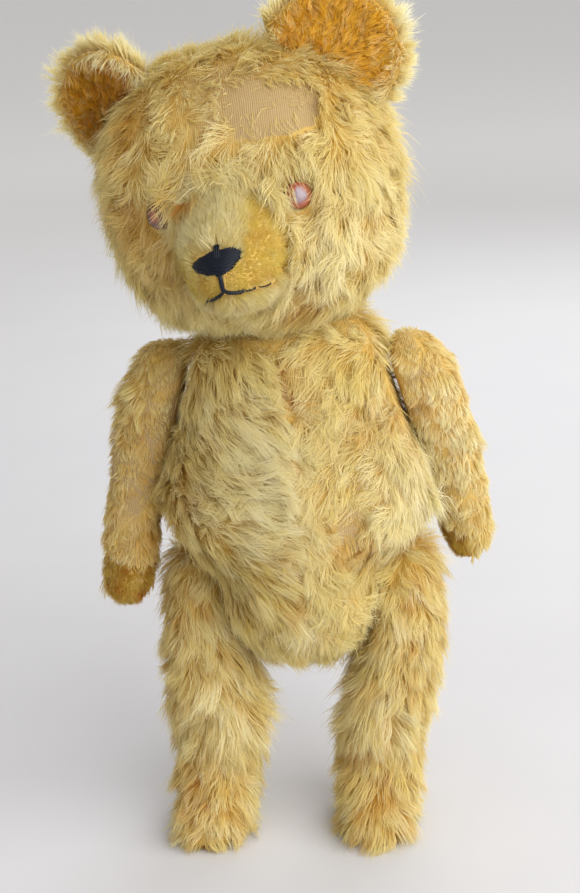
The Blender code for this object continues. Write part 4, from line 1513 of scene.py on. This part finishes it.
def ear_back_roots(roots, base):
    """Long pale hair that fans out over the back of an ear."""
    roots.comb = away_from(roots, base)
    roots.length = (8.5 + 1.2 * waves(roots.place, 9 * MM, 61)) * MM
    roots.lie(38 + 8 * waves(roots.place, 9 * MM, 62), 70.0)
    roots.shade(0.45 + 0.25 * waves(roots.place, 9 * MM, 63), 0)
    return roots


def way_out(roots, middle):
    """How far out on the ear each strand is, from 0 in the middle to 1 at the rim."""
    facing = unit(roots.out.mean(axis=0))
    flat = roots.place - middle
    flat -= (flat @ facing)[:, None] * facing
    reach = np.linalg.norm(flat, axis=1)
    return reach / np.quantile(reach, 0.97)


def ear_lining_roots(roots, base, up, side, border):
    """Short plush that turns into a longer, paler fringe at the border."""
    roots.comb = -away_from(roots, base + EAR_FOLD * up)
    roots.length = (4.4 + 2.5 * border + 1.0 * waves(roots.place, 7 * MM, 64)) * MM
    roots.lie(30.0, 70.0)
    depth = (roots.place - base) @ up / MM
    # Painted shade: the lining is warmer and darker lower in its hollow.
    warm = 0.7 + EAR_WARM_AND_SHADE[side] - depth / 30 - border + 0.2 * waves(roots.place, 6 * MM, 65)
    roots.shade(0.5 * border + 0.2 * waves(roots.place, 5 * MM, 66), warm)
    return roots


def grow_ear(side):
    piece = ear(side)
    middle = middle_of(f"ear_back_{side}")
    up = unit(middle - middle_of("head_stuffing"))
    base = middle - EAR_ROOT * up

    def on_panel(number):
        return lambda roots: (roots.panel == number) * 1.0

    back = scatter(piece, ear_panels(side), EAR_BACK_STRANDS, rng, on_panel(1))
    pile(f"ear_back_pile_{side}", "head", ear_back_roots(back, base), mohair, rng)
    front = scatter(piece, ear_panels(side), EAR_LINING_STRANDS, rng, on_panel(0))
    border = ramp(way_out(front, middle), EAR_FRINGE[side], EAR_FRINGE[side] + 0.2)
    front = ear_lining_roots(front, base, up, side, border)
    fringe = rng.random(len(front)) < border
    pile(f"ear_fringe_pile_{side}", "head", front.kept(fringe), mohair, rng, tousle=1.5)
    pile(f"ear_lining_pile_{side}", "head", front.kept(~fringe), golden_plush, rng, tousle=1.8)


for side in ("left", "right"):
    grow_ear(side)


# %% [markdown]
# ## Eyes
#
# The eyes are blown glass on wire shanks, painted reddish brown behind. The paint has
# clouded and flaked, so the middle is milky and only a ring of brown is left.

# %% Clouded glass
def eye_paint():
    paint = Paint("clouded_glass")
    rim = paint.attribute("rim")
    cloud = paint.noise(700.0, 4.0)
    flaked = (rim + (cloud - 0.5) * 0.5).step(0.30, 0.64)
    ring = paint.mix(cloud, srgb("782E16"), srgb("A4563A"))
    colour = paint.mix(flaked, srgb("85747E"), ring)
    colour = paint.mix(rim.step(0.82, 0.97), colour, srgb("5A2A1C"))
    paint.shader.inputs["Coat Roughness"].default_value = 0.06
    return paint.finish(Base_Color=colour, Roughness=0.35, Coat_Weight=0.7)


clouded_glass = eye_paint()


# %% Turned shapes
def ring_faces(rows, sides):
    """The faces between rings of points, and one that closes each end."""
    faces = []
    for row in range(rows - 1):
        for step in range(sides):
            after = (step + 1) % sides
            here, there = row * sides, (row + 1) * sides
            faces.append((here + step, here + after, there + after, there + step))
    faces.append(tuple(range(sides))[::-1])
    faces.append(tuple((rows - 1) * sides + step for step in range(sides)))
    return faces


def turned(name, outline, values, sides, frame_at):
    """A turned shape: an outline of (radius, height) points spun round an axis."""
    points, stored = [], []
    for (radius, height), value in zip(outline, values):
        for step in range(sides):
            turn = 2 * math.pi * step / sides
            spot = Vector((radius * math.cos(turn), radius * math.sin(turn), height))
            points.append(frame_at @ (spot * MM))
            stored.append(value)
    mesh = bpy.data.meshes.new(name)
    mesh.from_pydata(points, [], ring_faces(len(outline), sides))
    mesh.shade_smooth()
    layer = mesh.attributes.new("rim", "FLOAT", "POINT")
    layer.data.foreach_set("value", stored)
    return mesh


# %% Eyes
EYE_BROWN = {"left": 0.0, "right": 0.55}  # how much more of the glass is painted brown
EYE_RADIUS = 5.6
EYE_DOME = 4.3
EYE_EDGE = 0.5  # height of the straight edge under the dome
EYE_FOOT = (0.9, -0.4)  # share of the radius and height where the glass meets the cloth
EYE_SEAT = 0.35  # how far the eye stands off the cloth
EYE_SIDES = 48
EYE_ROWS = 12
seat = tree_of([head.data])


def eye_outline(brown):
    """The outline of the glass, and how near the rim each of its points is."""
    outline = [(EYE_RADIUS * EYE_FOOT[0], EYE_FOOT[1]), (EYE_RADIUS, EYE_EDGE)]
    values = [1.0, 1.0]
    for step in range(1, EYE_ROWS):
        turn = math.radians(90 * step / EYE_ROWS)
        height = EYE_EDGE + (EYE_DOME - EYE_EDGE) * math.sin(turn)
        outline.append((EYE_RADIUS * math.cos(turn), height))
        values.append(min(1.0, math.cos(turn) + brown))
    return outline, values


def eye_place(side):
    """Where an eye sits: on the highest cloth under its rim, facing straight out."""
    across, up = (1 if side == "left" else -1) * EYE_AT[0], EYE_AT[1]
    middle, _ = on_face(seat, across, up)
    shaded_under_pile = []
    for step in range(8):
        turn = 2 * math.pi * step / 8
        x, z = EYE_RADIUS * math.cos(turn), EYE_RADIUS * math.sin(turn)
        shaded_under_pile.append(on_face(seat, across + x, up + z))
    outward = sum((normal for _, normal in shaded_under_pile), Vector()).normalized()
    lift = max(max((spot - middle).dot(outward) for spot, _ in shaded_under_pile), 0)
    place = Matrix.Translation(middle + outward * (lift + EYE_SEAT * MM))
    return place @ outward.to_track_quat("Z", "Y").to_matrix().to_4x4()


def make_eye(side):
    name = f"eye_dome_{side}"
    mesh = turned(name, *eye_outline(EYE_BROWN[side]), EYE_SIDES, eye_place(side))
    mesh.materials.append(clouded_glass)
    piece = add_piece(name, mesh)
    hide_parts(f"eye_{side}")
    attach(piece, "head")
    print(name, "points:", len(mesh.vertices))


for side in ("left", "right"):
    make_eye(side)


# %% [markdown]
# ## Nose and mouth
#
# The nose is satin stitch: strands of blue-black floss laid side by side from one edge to the
# other. The mouth is three longer stitches, and the outer ones have loosened. A picture of
# stitches would look flat from the side, so every thread is a tube that dives into the cloth.

# %% Floss
def floss_paint():
    paint = Paint("floss")
    strand = paint.noise(900.0, 2.0)
    dusty = paint.noise(250.0, 3.0).step(0.5, 0.8)
    colour = paint.mix(strand, srgb("06080E"), srgb("101826"))
    colour = paint.mix(dusty * 0.15, colour, srgb("303846"))
    paint.shader.inputs["Specular IOR Level"].default_value = 0.22
    return paint.finish(Base_Color=colour, Roughness=0.42)


floss = floss_paint()


# %% Stitches
THREAD_SIDES = 8
STITCH_STEPS = 9
DIVE = 0.4  # how deep in the cloth the ends of a stitch are, mm
LEAN = Vector((0.13, -1, 0.21))  # a way that no stitch runs along


def tube(route, radius):
    """The points of a closed tube along a route."""
    points = []
    for before, at, after in zip([route[0], *route], route, [*route[1:], route[-1]]):
        ahead = (after - before).normalized()
        side = ahead.cross(LEAN).normalized()
        over = ahead.cross(side)
        for step in range(THREAD_SIDES):
            turn = 2 * math.pi * step / THREAD_SIDES
            points.append(at + radius * (math.cos(turn) * side + math.sin(turn) * over))
    return points


def stitch_route(tree, start, end, rise, sag=0.0):
    """A thread from hole to hole: it dives in at both ends and rides over the cloth between."""
    route = []
    for step in range(STITCH_STEPS + 1):
        t = step / STITCH_STEPS
        across = start[0] * (1 - t) + end[0] * t
        up = start[1] * (1 - t) + end[1] * t - sag * 4 * t * (1 - t)
        spot, normal = on_face(tree, across, up)
        near_hole = (2 * t - 1) ** 6
        route.append(spot + normal * (rise * (1 - near_hole) - DIVE * near_hole) * MM)
    return route


def sewn(name, stitches, node):
    """One mesh of many stitches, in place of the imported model's plain piece."""
    points, faces = [], []
    for route, radius in stitches:
        around = ring_faces(len(route), THREAD_SIDES)
        faces += [tuple(corner + len(points) for corner in face) for face in around]
        points += tube(route, radius * MM)
    mesh = bpy.data.meshes.new(name)
    mesh.from_pydata(points, [], faces)
    mesh.shade_smooth()
    mesh.materials.append(floss)
    piece = add_piece(name, mesh)
    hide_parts(node)
    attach(piece, "head")
    print(name, "stitches:", len(stitches))


# %% Nose
NOSE_OUTLINE = [
    (-1.6, 50.0), (-6.2, 48.3), (-10.4, 45.6), (-8.8, 43.7), (-1, 42.6),
    (4.4, 42.3), (7.7, 43.6), (10.4, 46.0), (11.5, 48.6), (7.4, 50.0),
]
NOSE_ROWS = 16
NOSE_SLANT = 0.3  # how much one end of a stitch is higher or lower than its middle
NOSE_TAB = (1.2, 1.9, 2.6)
TAB_TOP = 51.9
TAB_FOOT = 47
FLOSS = 0.36


def span_at(outline, up):
    """Where a level line at this height crosses an outline: the lowest and highest across."""
    found = []
    for (x, z), (next_x, next_z) in zip(outline, outline[1:] + outline[:1]):
        if (z - up) * (next_z - up) < 0:
            found.append(x + (next_x - x) * (up - z) / (next_z - z))
    return min(found), max(found)


top = max(up for _, up in NOSE_OUTLINE)
bottom = min(up for _, up in NOSE_OUTLINE)
stitches = []
for row in range(NOSE_ROWS):
    up = top - (top - bottom) * (row + 0.5) / NOSE_ROWS
    right, left = span_at(NOSE_OUTLINE, up)
    wobble = rng.normal(0, 0.2, 2)
    start = (right + wobble[0], up - NOSE_SLANT)
    end = (left + wobble[1], up + NOSE_SLANT)
    stitches.append((stitch_route(seat, start, end, 1.1), FLOSS))
for across in NOSE_TAB:
    route = stitch_route(seat, (across, TAB_TOP), (across - 0.3, TAB_FOOT), 1.3)
    stitches.append((route, FLOSS * 1.1))
sewn("nose_stitches", stitches, "nose")

# %% Mouth
stitches = []
for start, end, thick, sag in MOUTH:
    stitches.append((stitch_route(seat, start, end, 0.9, sag), thick))
sewn("mouth_stitches", stitches, "mouth")


# %% [markdown]
# ## Parts out of sight
#
# Discs of pressed fibre, steel washers and wire pins hold the joints inside the stuffing.
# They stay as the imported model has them, with plain honest finishes.

# %% Hidden finishes
def fibre_paint():
    paint = Paint("fibreboard")
    fleck = paint.noise(800.0, 4.0)
    colour = paint.mix(fleck, srgb("6E5236"), srgb("9A7B55"))
    rough = paint.bump(fleck, 0.1 * MM, 0.4)
    return paint.finish(Base_Color=colour, Roughness=0.85, Normal=rough)


def steel_paint():
    paint = Paint("plain_steel")
    rust = paint.noise(400.0, 4.0).step(0.55, 0.7)
    colour = paint.mix(rust, srgb("9B9A98"), srgb("7A4A2A"))
    return paint.finish(Base_Color=colour, Metallic=1 - rust, Roughness=0.35 + 0.4 * rust)


fibreboard = fibre_paint()
plain_steel = steel_paint()
for name, node in nodes.items():
    if name.endswith("_disc"):
        node.data.materials[0] = fibreboard
    elif name.endswith(("_washer", "_pin")):
        node.data.materials[0] = plain_steel


# %% [markdown]
# ## Which material each piece stands for
#
# A table gives the material slot of the imported model that each finish belongs to, and the
# pieces whose finish is in it are counted. The woven backing belongs with the mohair.

# %% Slots
SLOT_OF = {
    "woven_backing": "mohair",
    "mohair": "mohair",
    "short_plush": "short_pile",
    "golden_plush": "short_pile",
    "clouded_glass": "glass",
    "floss": "floss",
}
slotted = 0
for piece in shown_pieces():
    finish = piece.data.materials[0].name
    if finish in SLOT_OF:
        SLOT_OF[finish]
        slotted += 1
print("pieces with a slot:", slotted)


# %% [markdown]
# ## Size and colour management
#
# The pile may stand a little outside the imported model's box, as real pile does. Both boxes
# are kept in metres and printed in millimetres. Plain colour management keeps the straw colours as
# chosen.

# %% Finish
bpy.context.scene.view_settings.view_transform = "Standard"
visual_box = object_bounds()
for label, box in (("packed", cad_box), ("visual", visual_box)):
    print(label, "box mm:", [[round(value / MM, 1) for value in corner] for corner in box])
boxes = {
    "packed": [list(corner) for corner in cad_box],
    "visual": [list(corner) for corner in visual_box],
}
